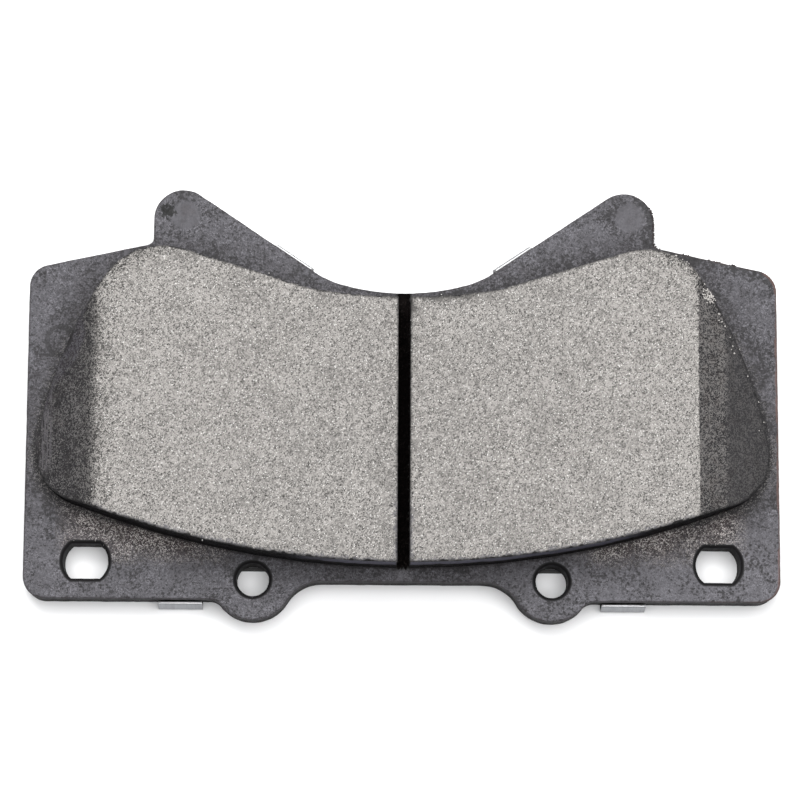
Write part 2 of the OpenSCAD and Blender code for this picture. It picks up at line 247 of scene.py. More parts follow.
class Outline:
    """The closed edges of a flat piece, the outer one first, with points at most one step apart."""

    def __init__(self, loops, step):
        self.loops = [self.divide(loop, step) for loop in loops]
        self.points = np.vstack(self.loops)
        self.owner = np.concatenate([np.full(len(p), i) for i, p in enumerate(self.loops)])
        before, after = [], []
        start = 0
        for loop in self.loops:
            numbers = np.arange(len(loop))
            before.append(start + (numbers - 1) % len(loop))
            after.append(start + (numbers + 1) % len(loop))
            start += len(loop)
        self.before, self.after = np.concatenate(before), np.concatenate(after)
        along = self.points[self.after] - self.points[self.before]
        along /= np.linalg.norm(along, axis=1)[:, None]
        self.inward = np.column_stack([-along[:, 1], along[:, 0]])
        self.tree = tree_of(self.points)

    @staticmethod
    def divide(loop, step):
        points = []
        for here, there in zip(loop, loop[1:] + loop[:1]):
            here, there = np.array(here), np.array(there)
            parts = max(1, math.ceil(np.linalg.norm(there - here) / step - 0.01))
            points += [here + (there - here) * i / parts for i in range(parts)]
        return np.array(points)

    def nearest(self, points):
        """Distance from each point to the edges, and the loop that is nearest."""
        found = np.array([self.tree.find((p[0], p[1], 0.0))[1] for p in points])
        best = np.full(len(points), 1e9)
        for other in (self.before[found], self.after[found]):
            a, b = self.points[found], self.points[other]
            side = b - a
            t = np.clip(np.sum((points - a) * side, axis=1) / np.sum(side * side, axis=1), 0, 1)
            best = np.minimum(best, np.linalg.norm(points - a - side * t[:, None], axis=1))
        return best, self.owner[found]

    def inside(self, points):
        """Which points lie on the solid."""
        crossings = np.zeros(len(points), int)
        for a, b in zip(self.points, self.points[self.after]):
            if a[1] == b[1]:
                continue
            spans = (points[:, 1] >= min(a[1], b[1])) & (points[:, 1] < max(a[1], b[1]))
            at = a[0] + (points[:, 1] - a[1]) * (b[0] - a[0]) / (b[1] - a[1])
            crossings += spans & (points[:, 0] < at)
        return crossings % 2 == 1

    def fill(self, step, rings, seed):
        """Points inside: rows that follow the edges, then an even scatter."""
        rows = []
        for ring in rings:
            row = self.points + self.inward * ring
            distance, _ = self.nearest(row)
            rows.append(row[distance > 0.88 * ring])
        low, high = self.points.min(0), self.points.max(0)
        columns = np.arange(low[0], high[0], step)
        lines = np.arange(low[1], high[1], step * 0.866)
        x, y = np.meshgrid(columns, lines)
        x = x + np.where(np.arange(len(lines)) % 2, step / 2, 0)[:, None]
        random = np.random.default_rng(seed)
        scatter = np.column_stack([x.ravel(), y.ravel()])
        scatter += random.uniform(-0.25, 0.25, scatter.shape) * step
        scatter = scatter[self.inside(scatter)]
        distance, _ = self.nearest(scatter)
        scatter = scatter[distance > (max(rings) if len(rings) else 0) + 0.55 * step]
        return np.vstack(rows + [scatter])


class Shell:
    """Collects the points and faces of one closed piece."""

    def __init__(self):
        self.points, self.faces, self.finishes, self.edge = [], [], [], []

    def add_points(self, points, edge=None):
        start = len(self.points)
        self.points += [tuple(p) for p in points]
        self.edge += list(np.zeros(len(points)) if edge is None else edge)
        return np.arange(start, start + len(points))

    def cover(self, outline, inner, heights, up, finish, rim=None, edge=None):
        """Fills an outline with triangles. Returns the number of each outline point."""
        plan = np.vstack([outline.points, inner]) if len(inner) else outline.points
        sides = [(int(a), int(b)) for a, b in enumerate(outline.after)]
        spots, _, faces, sources, _, _ = geometry.delaunay_2d_cdt(
            [Vector(p) for p in plan], sides, [], 1, 1e-5, True)
        if len(spots) != len(plan):
            raise ValueError("two points of an outline lie on each other")
        source = np.array([s[0] for s in sources])
        owner = np.concatenate([outline.owner, np.full(len(inner), -1)])
        if rim is None:
            numbers = self.add_points(np.column_stack([plan, heights]), edge)
        else:
            numbers = np.concatenate([rim, self.add_points(
                np.column_stack([plan, heights])[len(rim):], None if edge is None else edge[len(rim):])])
        corners = source[np.array(faces)]
        first, second, third = owner[corners].T
        doubtful = np.flatnonzero((first >= 0) & (first == second) & (first == third))
        keep = np.ones(len(corners), bool)
        keep[doubtful] = outline.inside(plan[corners[doubtful]].mean(axis=1))
        corners = corners[keep]
        a, b, c = plan[corners[:, 0]], plan[corners[:, 1]], plan[corners[:, 2]]
        turn = (b[:, 0] - a[:, 0]) * (c[:, 1] - a[:, 1]) - (b[:, 1] - a[:, 1]) * (c[:, 0] - a[:, 0])
        corners = np.where(((turn > 0) == up)[:, None], corners, corners[:, ::-1])
        self.faces += numbers[corners].tolist()
        self.finishes += [finish] * len(corners)
        return numbers[:len(outline.points)]

    def cap(self, outline, level, finish, rim=None, up=False):
        """Closes an outline with flat triangles at one level."""
        return self.cover(outline, NO_POINTS, np.full(len(outline.points), level), up, finish, rim=rim)

    def walls(self, outline, upper, lower, finish):
        """Joins two rims round every edge of an outline."""
        for i, j in enumerate(outline.after):
            self.faces.append([int(upper[j]), int(upper[i]), int(lower[i]), int(lower[j])])
        self.finishes += [finish] * len(outline.after)

    def drop(self, outline, upper, tops, foot, rows, dent, finish):
        """Side walls in several rows, from the upper rim down to a foot. Returns the lowest rim."""
        above = upper
        for row in range(1, rows + 1):
            place = np.column_stack([outline.points, tops + (foot - tops) * row / rows])
            if row < rows:
                place[:, :2] += outline.inward * dent(place)[:, None]
            below = self.add_points(place)
            self.walls(outline, above, below, finish)
            above = below
        return above

    def make(self, name, materials, sharp=40.0, warp=None):
        """Turns the collected faces into a mesh object in metres."""
        mesh = bpy.data.meshes.new(name)
        points = np.array(self.points)
        if warp is not None:
            points = warp(points)
        mesh.from_pydata((points * MM).tolist(), [], self.faces)
        for material in materials:
            mesh.materials.append(material)
        mesh.polygons.foreach_set("material_index", self.finishes)
        add_values(mesh, "edge", self.edge)
        return link_piece(name, mesh, sharp)


def uneven(points, reach, size, seed):
    """Moves the points a little sideways, so that no edge runs dead straight. The size stays."""
    low, high = points.min(0), points.max(0)
    level = points * (1.0, 1.0, 0.4)
    moved = points.copy()
    for axis in (0, 1):
        shift = 0.65 * ripple(level, size, seed + axis) + 0.35 * ripple(level, size * 0.35, seed + 5 + axis)
        moved[:, axis] += reach * 2 * (shift - 0.5)
        moved[:, axis] = np.clip(moved[:, axis], low[axis], high[axis])
    return moved


def rolled(distance, radius):
    """How far a rounded edge falls at each distance from it."""
    t = np.clip(1 - distance / np.maximum(radius, 1e-6), 0, 1)
    return radius * (1 - np.sqrt(np.maximum(0, 1 - t * t)))


def hollow(points, x, y, radius, depth):
    """A shallow round hollow."""
    distance = np.hypot(points[:, 0] - x, points[:, 1] - y) / radius
    return depth * np.clip(1 - distance ** 2, 0, 1) ** 2


def disc(points, x, y, radius, depth, soft):
    """A flat-bottomed round mark."""
    distance = np.hypot(points[:, 0] - x, points[:, 1] - y)
    return depth * np.clip((radius - distance) / soft, 0, 1)


def add_values(mesh, name, values):
    """Keeps one number for each point of a mesh."""
    mesh.attributes.new(name, "FLOAT", "POINT").data.foreach_set("value", np.asarray(values, np.float32))


def link_piece(name, mesh, sharp=None):
    """Puts a mesh in the scene, smooth but for the edges that turn more than an angle in degrees."""
    mesh.polygons.foreach_set("use_smooth", [True] * len(mesh.polygons))
    mesh.update()
    if sharp is not None:
        mesh.set_sharp_from_angle(angle=math.radians(sharp))
    piece = bpy.data.objects.new(name, mesh)
    bpy.context.scene.collection.objects.link(piece)
    return piece


def place_piece(piece, slot, *nodes):
    """Hands a finished piece to the frame."""
    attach(piece, "root")
    if nodes:
        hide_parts(*nodes)


def node_levels(node):
    """Lowest and highest level of a CAD node, in millimetres."""
    low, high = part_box(node)
    return low.z / MM, high.z / MM


def outline_of(node, step):
    """The outline of a CAD node's rear face."""
    return Outline(edge_loops(node, node_levels(node)[0], -1), step)


def tops_of(node, plan, inward):
    """Height of a CAD node above each plan point, in millimetres."""
    shape = bmesh.new()
    shape.from_mesh(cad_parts[node].data)
    tree = BVHTree.FromBMesh(shape)
    shape.free()
    low, high = node_levels(node)
    heights = np.full(len(plan), low)
    for i, p in enumerate(plan + inward):
        hit = tree.ray_cast(Vector((p[0] * MM, p[1] * MM, (high + 5) * MM)), Vector((0, 0, -1)))[0]
        if hit is not None:
            heights[i] = hit.z / MM
    return heights


# ---------------------------------------------------------------- finishes


class Field:
    """A value that changes over a surface. Arithmetic on fields adds math nodes."""

    def __init__(self, bench, socket):
        self.bench, self.socket = bench, socket

    def __add__(self, other):
        return self.bench.math("ADD", self, other)

    def __sub__(self, other):
        return self.bench.math("SUBTRACT", self, other)

    def __rsub__(self, other):
        return self.bench.math("SUBTRACT", other, self)

    def __mul__(self, other):
        return self.bench.math("MULTIPLY", self, other)

    def __truediv__(self, other):
        return self.bench.math("DIVIDE", self, other)

    def __rtruediv__(self, other):
        return self.bench.math("DIVIDE", other, self)

    def __abs__(self):
        return self.bench.math("ABSOLUTE", self)

    def step(self, low, high):
        """0 at low, 1 at high, smooth between."""
        return self.bench.field("ShaderNodeMapRange", {"Value": self, "From Min": low, "From Max": high},
                                interpolation_type="SMOOTHSTEP")

    def fit(self, low, high, to_low, to_high):
        """Turns one range into another, in a straight line."""
        return self.bench.field("ShaderNodeMapRange", {"Value": self, "From Min": low, "From Max": high,
                                                       "To Min": to_low, "To Max": to_high})


class Bench:
    """Adds nodes to a tree. An input is a value, a field or the output of another node."""

    def __init__(self, tree, material=None):
        self.tree, self.material = tree, material

    def add(self, kind, inputs=None, **choices):
        node = self.tree.nodes.new(kind)
        count = len(self.tree.nodes)
        node.location = (190 * (count % 10), -230 * (count // 10))
        for key, value in choices.items():
            setattr(node, key, value)
        for key, value in (inputs or {}).items():
            if isinstance(value, Field):
                self.tree.links.new(value.socket, node.inputs[key])
            else:
                node.inputs[key].default_value = value
        return node

    def field(self, kind, inputs=None, output=0, **choices):
        """Adds a node and returns one of its outputs."""
        return Field(self, self.add(kind, inputs, **choices).outputs[output])

    def fields(self, kind, inputs=None, **choices):
        """Adds a node and returns its outputs by name."""
        return {s.name: Field(self, s) for s in self.add(kind, inputs, **choices).outputs}

    def math(self, operation, a, b=0.0, c=0.0, clamp=False):
        return self.field("ShaderNodeMath", {0: a, 1: b, 2: c}, operation=operation, use_clamp=clamp)

    def vector(self, operation, a, b):
        return self.field("ShaderNodeVectorMath", {0: a, 1: b}, operation=operation)

    def scaled(self, vector, factor):
        return self.field("ShaderNodeVectorMath", {0: vector, "Scale": factor}, operation="SCALE")

    def joined(self, x, y, z):
        return self.field("ShaderNodeCombineXYZ", {0: x, 1: y, 2: z})

    def split(self, vector):
        return tuple(self.fields("ShaderNodeSeparateXYZ", {0: vector}).values())

    def mix(self, share, a, b):
        a, b = (c if isinstance(c, Field) else (*c, 1.0) for c in (a, b))
        return self.field("ShaderNodeMix", {0: share, 6: a, 7: b}, 2, data_type="RGBA", clamp_factor=True)

    def ramp(self, value, stops):
        node = self.add("ShaderNodeValToRGB", {0: value})
        while len(node.color_ramp.elements) < len(stops):
            node.color_ramp.elements.new(0.5)
        for element, (position, tint) in zip(node.color_ramp.elements, stops):
            element.position = position
            element.color = (*tint, 1.0)
        return Field(self, node.outputs[0])

    def noise(self, vector, size, detail=2.0, rough=0.5):
        return self.field("ShaderNodeTexNoise", {"Vector": vector, "Scale": 1 / size, "Detail": detail,
                                                 "Roughness": rough})

    def wobble(self, *noise):
        """Noise that swings about zero."""
        return self.noise(*noise) - 0.5

    def cells(self, vector, size):
        found = self.fields("ShaderNodeTexVoronoi", {"Vector": vector, "Scale": 1 / size})
        return found["Distance"], found["Color"]

    def attribute(self, name):
        return self.field("ShaderNodeAttribute", None, "Fac", attribute_name=name)

    def group(self, tree, **inputs):
        return self.fields("ShaderNodeGroup", {k.replace("_", " "): v for k, v in inputs.items()},
                           node_tree=tree)

    def bump(self, height, distance, strength=1.0):
        return self.field("ShaderNodeBump", {"Height": height, "Distance": distance, "Strength": strength})

    def surface(self, **inputs):
        """Ends the material with its shader."""
        shader = self.field("ShaderNodeBsdfPrincipled", {k.replace("_", " "): v for k, v in inputs.items()})
        self.add("ShaderNodeOutputMaterial", {0: shader})
        return self.material


def new_finish(name):
    """A bench on an empty material, and the place on the piece in millimetres."""
    material = bpy.data.materials.new(name)
    material.use_nodes = True
    material.node_tree.nodes.clear()
    bench = Bench(material.node_tree, material)
    return bench, bench.scaled(bench.field("ShaderNodeTexCoord", None, "Object"), 1 / MM)


def shared_effect(name, inputs, outputs):
    """Turns a builder into a shader group with named sockets, built when it is first needed."""

    def wrap(build):
        def effect():
            tree = bpy.data.node_groups.get(name)
            if tree is None:
                tree = bpy.data.node_groups.new(name, "ShaderNodeTree")
                for key, default in inputs.items():
                    kind = "NodeSocketVector" if default is None else "NodeSocketFloat"
                    socket = tree.interface.new_socket(key, in_out="INPUT", socket_type=kind)
                    if default is not None:
                        socket.default_value = default
                for key in outputs:
                    tree.interface.new_socket(key, in_out="OUTPUT", socket_type="NodeSocketFloat")
                bench = Bench(tree)
                made = build(bench, bench.fields("NodeGroupInput"))
                bench.add("NodeGroupOutput", dict(zip(outputs, made)))
            return tree
        return effect
    return wrap


@shared_effect("Mineral grain", {"Place": None, "Grain": 0.35, "Drag": 0.9},
               ("Tone", "Flake", "Pit", "Height"))
def grain_effect(bench, given):
    """Mineral grains pressed in a binder: their tone, pale flakes, dark pits and height."""
    place = bench.scaled(given["Place"], 1.0 / given["Grain"])
    near, tint = bench.cells(place, 1.0)
    small = bench.split(tint)
    fine = bench.noise(place, 0.62, 1.0, 0.5)
    drags = []
    for number, angle in enumerate((1.0, -0.6, 2.2)):
        turned = bench.field("ShaderNodeVectorRotate", {"Vector": place, "Angle": angle + 0.01 * number},
                             rotation_type="Z_AXIS")
        long = bench.vector("MULTIPLY", turned, (0.42, 1.35, 1.0))
        drags.append(bench.noise(long, 0.85, 1.0, 0.5))
    choice = bench.noise(place, 7.0, 1.0)
    drag = bench.math("MAXIMUM", choice * 0.5 + drags[0], drags[1] + 0.5 - choice * 0.5)
    drag = drag * 0.55 + drags[2] * 0.45 - 0.58
    tone = (small[0] - 0.5) * 0.30 + 0.5
    tone = (fine - 0.5) * 0.75 + tone
    tone = drag * given["Drag"] + tone
    calm = bench.noise(place, 24.0, 2.0, 0.6).fit(0.35, 0.65, 0.62, 1.15)
    tone = (tone - 0.5) * calm + 0.5
    cloud = bench.noise(place, 6.0, 3.0, 0.6)
    tone = (cloud - 0.5) * 0.16 + tone
    flake = small[1].step(0.93, 0.94) * near.step(0.50, 0.36)
    pit = small[2].step(0.93, 0.94) * near.step(0.52, 0.36)
    height = small[0] * 0.5 + fine * 0.5
    height = height - pit * 0.8
    return tone, flake, pit, height


@shared_effect("Drawn lines", {"Place": None, "Along X": 0.1, "Along Y": 5.0, "Along Z": 5.0},
               ("Line", "Height"))
def lines_effect(bench, given):
    """Fine lines drawn out along one direction."""
    drawn = bench.joined(*(part / given[f"Along {axis}"]
                           for axis, part in zip("XYZ", bench.split(given["Place"]))))
    line = bench.noise(drawn, 1.0, 3.0, 0.65)
    broad = bench.noise(drawn, 4.0, 1.0, 0.5)
    return line * 0.6 + broad * 0.4, line


@shared_effect("Mottle", {"Place": None, "Patch": 3.0, "Speck": 0.4, "Cover": 0.2},
               ("Patch", "Speck", "Ring", "Torn"))
def mottle_effect(bench, given):
    """Cloudy patches, with dark specks and small rings crowded where the patches are."""
    place = bench.scaled(given["Place"], 1.0 / given["Patch"])
    patch = bench.noise(place, 1.0, 4.0, 0.62)
    crowd = bench.noise(place, 2.6, 3.0, 0.65).step(0.40, 0.66)
    place = bench.scaled(given["Place"], 1.0 / given["Speck"])
    near, tint = bench.cells(place, 1.0)
    share = (crowd * 1.7 + 0.15) * given["Cover"]
    chosen = bench.math("LESS_THAN", bench.split(tint)[1], share)
    ragged = bench.noise(place, 0.5, 2.0) * 0.5 + near
    speck = chosen * ragged.step(0.72, 0.48)
    torn = crowd * 0.10 + bench.noise(place, 1.3, 4.0, 0.75)
    far, tint = bench.cells(place, 2.9)
    chosen = bench.math("LESS_THAN", bench.split(tint)[0], crowd * 0.30 + 0.12)
    wavy = bench.wobble(place, 1.1, 2.0) * 0.25 + far
    ring = abs(wavy - 0.30).step(0.09, 0.02)
    return patch, speck, chosen * ring, torn


@shared_effect("Edge wear", {"Place": None, "Edge": 0.0, "Width": 0.3, "Ragged": 0.3}, ("Worn",))
def wear_effect(bench, given):
    """A ragged band along an edge, from the distance to that edge."""
    wobble = bench.wobble(given["Place"], 0.9, 3.0, 0.6)
    distance = wobble * given["Ragged"] + given["Edge"]
    worn = bench.math("SUBTRACT", 1.0, distance / given["Width"], clamp=True)
    return bench.math("SMOOTH_MIN", worn, 1.0, 0.2),


@shared_effect("Dust", {"Place": None, "Amount": 0.3}, ("Dust",))
def dust_effect(bench, given):
    """Pale dust lying in soft patches."""
    patch = bench.noise(given["Place"], 9.0, 3.0, 0.6).step(0.35, 0.75)
    fine = bench.noise(given["Place"], 0.35, 2.0, 0.7).step(0.45, 0.75)
    dust = patch * fine * given["Amount"]
    return dust,


def tinted(tone, factor):
    """A colour made lighter or darker."""
    return tuple(min(1.0, c * factor) for c in tone)


def round_mark(bench, place, x, y, radius, soft):
    """1 inside a circle on the plan, 0 outside."""
    parts = bench.split(place)
    dx = parts[0] - x
    dy = parts[1] - y
    distance = bench.math("SQRT", dx * dx + dy * dy)
    return distance.step(radius + soft, radius - soft), distance


# Round marks left by the press on the two ears of the plate: x, y, radius.
EAR_MARKS = ((-44.6, 38.7, 3.0), (46.2, 38.9, 3.0))
# A faint ring near the left end: x, y, radius.
END_RING = (-69.5, 12.5, 2.8)
# A hollow full of dirt on the left ear: x, y.
EAR_HOLLOW = (-48.3, 39.5)
# A dark spot in the face of the right block: x, y, radius.
FACE_SPOT = (15.1, -15.5, 1.1)


def ring_mark(bench, place):
    """The faint ring near the left end, heavier on its right side, with a streak below it."""
    x, y, _ = bench.split(place)
    cx, cy, radius = END_RING
    _, away = round_mark(bench, place, cx, cy, radius, 0.3)
    away = bench.wobble(place, 1.6, 2.0) * 0.9 + away
    ring = abs(away - radius).step(0.72, 0.36)
    lean = (x - y * 0.5).step(cx - cy / 2 - 2.4, cx - cy / 2 + 2.0)
    ring = ring * (lean * 0.32 + 0.66)
    level = abs(x * 0.10 + (y - (cy - 3.3 + cx * 0.10)))
    streak = level.step(0.42, 0.10) * (x.step(cx - 4.6, cx - 3.2) * x.step(cx + 2.6, cx + 1.2))
    return bench.math("MAXIMUM", ring, streak * 0.75)


def coat_finish(settings):
    """Matt powder coat with dark specks, rusty edges and press marks, and painted shade round the feet of
    the blocks.
    """
    bench, place = new_finish("powder_coat")
    base, speck = tuple(settings.coat), tuple(settings.speck)
    x, y, z = bench.split(place)
    edge = bench.attribute("edge")
    foot = bench.attribute("foot")
    mottle = bench.group(mottle_effect(), Place=place, Patch=2.4, Speck=0.60, Cover=0.40)
    pepper = bench.group(mottle_effect(), Place=place, Patch=1.7, Speck=0.36, Cover=0.50)
    grain = bench.group(grain_effect(), Place=place, Grain=0.34, Drag=0.3)
    wear = bench.group(wear_effect(), Place=place, Edge=edge, Width=0.42, Ragged=0.5)
    marks, halo = 0.0, 0.0
    for mark in EAR_MARKS:
        inside, away = round_mark(bench, place, *mark, 0.5)
        marks = bench.math("MAXIMUM", marks, inside)
        halo = bench.math("MAXIMUM", halo, away.step(7.5, 3.4))
    calm = 1.0 - marks * 0.85
    coat = bench.mix(mottle["Patch"].step(0.30, 0.70), tinted(base, 0.86), tinted(base, 1.18))
    coat = bench.mix(mottle["Patch"].step(0.50, 0.36) * 0.25, coat, (0.050, 0.041, 0.043))
    coat = bench.mix(calm * 0.80, coat, bench.ramp(grain["Tone"],
                                                   [(0.24, tinted(base, 0.12)), (0.42, tinted(base, 0.72)),
                                                    (0.58, tinted(base, 1.20)), (0.74, tinted(base, 2.3))]))
    # Painted light: the lower band of the plate is lightened, more towards the right.
    lower = y.step(-22.0, -30.0) * (x.step(10.0, 40.0) * 0.18 + 0.05)
    coat = bench.mix(lower, coat, tinted(base, 2.2))
    coat = bench.mix(mottle["Speck"] * 0.78 * calm, coat, speck)
    coat = bench.mix(pepper["Speck"] * 0.70 * calm, coat, speck)
    coat = bench.mix(mottle["Ring"] * 0.40 * calm, coat, speck)
    scorched = edge.step(3.2, 0.4) * (x.step(44.0, 50.0) * y.step(20.0, 26.0)).step(0.2, 0.8)
    # Painted shade: the coat darkens towards the feet of the blocks, less on the lower side; the dark
    # specks below crowd there too.
    near = bench.wobble(place, 3.2, 3.0, 0.65) * 16.0 + foot
    near = near.step(8.0, -1.0) * calm
    near = near * (1.0 - y.step(-20.0, -30.0) * 0.6)
    coat = bench.mix(near * 0.44, coat, (0.022, 0.018, 0.021))
    torn = halo * 0.07 + mottle["Torn"]
    torn = near * 0.07 + torn
    torn = scorched * 0.14 + torn
    coat = bench.mix(torn.step(0.59, 0.65) * 0.80 * calm, coat, speck)
    peppered = bench.noise(place, 0.42, 2.0, 0.6).step(0.52, 0.44)
    coat = bench.mix(near * peppered * 0.72, coat, speck)
    sand = bench.attribute("sand")
    fine = bench.group(grain_effect(), Place=place, Grain=0.235, Drag=0.2)
    grains = bench.ramp(fine["Tone"], [
        (0.36, BLACK_GRAIN), (0.49, (0.030, 0.021, 0.021)), (0.57, (0.070, 0.054, 0.053)),
        (0.66, (0.50, 0.47, 0.45))])
    coat = bench.mix(sand * 0.85, coat, grains)
    coat = bench.mix(ring_mark(bench, place), coat, (0.012, 0.011, 0.012))
    _, away = round_mark(bench, place, *EAR_HOLLOW, 1.0, 1.0)
    away = bench.wobble(place, 0.9, 3.0, 0.7) * 5.0 + away
    coat = bench.mix(away.step(1.8, 1.1) * 0.97, coat, (0.002, 0.002, 0.002))
    below = bench.noise(place, 7.0, 3.0, 0.6).step(0.42, 0.58)
    right = x.step(40.0, 70.0)
    rusty = wear["Worn"] * (right * 0.65 + 0.15)
    rusty = rusty * (below * 0.7 + 0.3)
    coat = bench.mix(rusty, coat, tuple(settings.rust))
    # Painted shadow: a near-black band hugging the feet of the blocks, faded out towards the plate's ends.
    foot_shadow = foot - bench.noise(place, 1.1, 3.0, 0.7) * 1.4
    foot_shadow = foot_shadow - abs(x).step(52.0, 62.0) * 0.7
    foot_shadow = foot_shadow.step(0.05, -0.75)
    coat = bench.mix(foot_shadow * 0.85, coat, (0.006, 0.005, 0.006))
    # Painted shade: a near-black ring on the rolled rim round each hole, and inside it a painted highlight
    # line, the glint, near the hole's edge.
    rim = bench.wobble(place, 0.9, 2.0) * 0.18 + bench.attribute("rim")
    coat = bench.mix(rim.step(0.86, 0.66), coat, (0.004, 0.004, 0.005))
    glint = abs(rim - 0.16).step(0.16, 0.06)
    coat = bench.mix(glint * 0.55, coat, base)
    # Painted shade: the coat in the strip of the slot between the blocks is black.
    slot = abs(x).step(1.9, 1.4) * y.step(-34.2, -33.2)
    coat = bench.mix(slot, coat, BLACK)
    dust = abs(x).step(54.0, 64.0) * foot.step(3.2, 0.6)
    dust = dust * fine["Tone"].step(0.59, 0.66)
    coat = bench.mix(dust * 0.6, coat, (0.20, 0.19, 0.185))
    rosy = (below * 0.3 + edge).step(0.75, 0.25) * x.step(72.5, 74.0)
    coat = bench.mix(rosy * 0.75, coat, (0.115, 0.062, 0.052))
    # Painted shade: a thin dark line along every rolled edge of the top face.
    line = edge.step(0.34, 0.08) * z.step(6.0, 6.8)
    coat = bench.mix(line * 0.55, coat, (0.018, 0.014, 0.015))
    # Painted shade: coat lying below the top face, on the rolled-over edges and the back of the plate, is
    # darkened.
    side = z.step(7.0, 6.5)
    coat = bench.mix(side * 0.80, coat, (0.010, 0.008, 0.009))
    rough = grain["Tone"].fit(0.0, 1.0, 0.80, 0.50)
    height = mottle["Patch"] * 0.8 + grain["Height"]
    height = mottle["Ring"] * 0.8 + height
    height = height * (1.0 - marks * 0.75)
    return bench.surface(Base_Color=coat, Roughness=rough, Specular_IOR_Level=0.30,
                         Normal=bench.bump(height, 0.00006, 0.8))


def slot_shade_finish():
    """Near-black plate at the bottom of the slot: painted shade for the deep, narrow slot between the
    blocks.
    """
    bench, place = new_finish("slot_soot")
    grain = bench.group(grain_effect(), Place=place, Grain=0.4, Drag=0.2)
    shade = bench.ramp(grain["Tone"], [(0.3, (0.001, 0.001, 0.001)), (0.6, BLACK_GRAIN),
                                       (0.9, (0.016, 0.014, 0.013))])
    return bench.surface(Base_Color=shade, Roughness=grain["Tone"].fit(0.0, 1.0, 1.0, 0.9),
                         Specular_IOR_Level=0.02, Normal=bench.bump(grain["Height"], 0.00006, 0.8))


def hole_finish(settings):
    """Sheared steel on the sides of the plate and in its holes, painted near-black as shade, with a paler
    lead-in.
    """
    bench, place = new_finish("hole_wall")
    lines = bench.group(lines_effect(), Place=place, Along_X=0.35, Along_Y=0.35, Along_Z=4.0)
    mottle = bench.group(mottle_effect(), Place=place, Patch=1.5, Speck=0.4, Cover=0.2)
    z = bench.split(place)[2]
    # Painted shade: the walls are near-black, standing in for the shade in the holes and along the plate's
    # sides.
    shade = bench.mix(lines["Line"], BLACK, (0.014, 0.013, 0.014))
    lead_in = z.step(5.7, 6.3) * z.step(6.95, 6.70)
    shade = bench.mix(lead_in * 0.45, shade, tinted(settings.coat, 0.8))
    shade = bench.mix(mottle["Speck"] * 0.4, shade, BLACK_GRAIN)
    return bench.surface(Base_Color=shade, Roughness=lines["Line"].fit(0.3, 0.7, 0.55, 0.75),
                         Specular_IOR_Level=0.06, Normal=bench.bump(lines["Height"], 0.00003, 0.6))


def crest_of(node, side):
    """Where the flat face of a block ends and its chamfer starts, in millimetres along X."""
    loop = np.array(edge_loops(node, node_levels(node)[1], 1)[0])
    return float(loop[:, 0].max() if side > 0 else loop[:, 0].min())


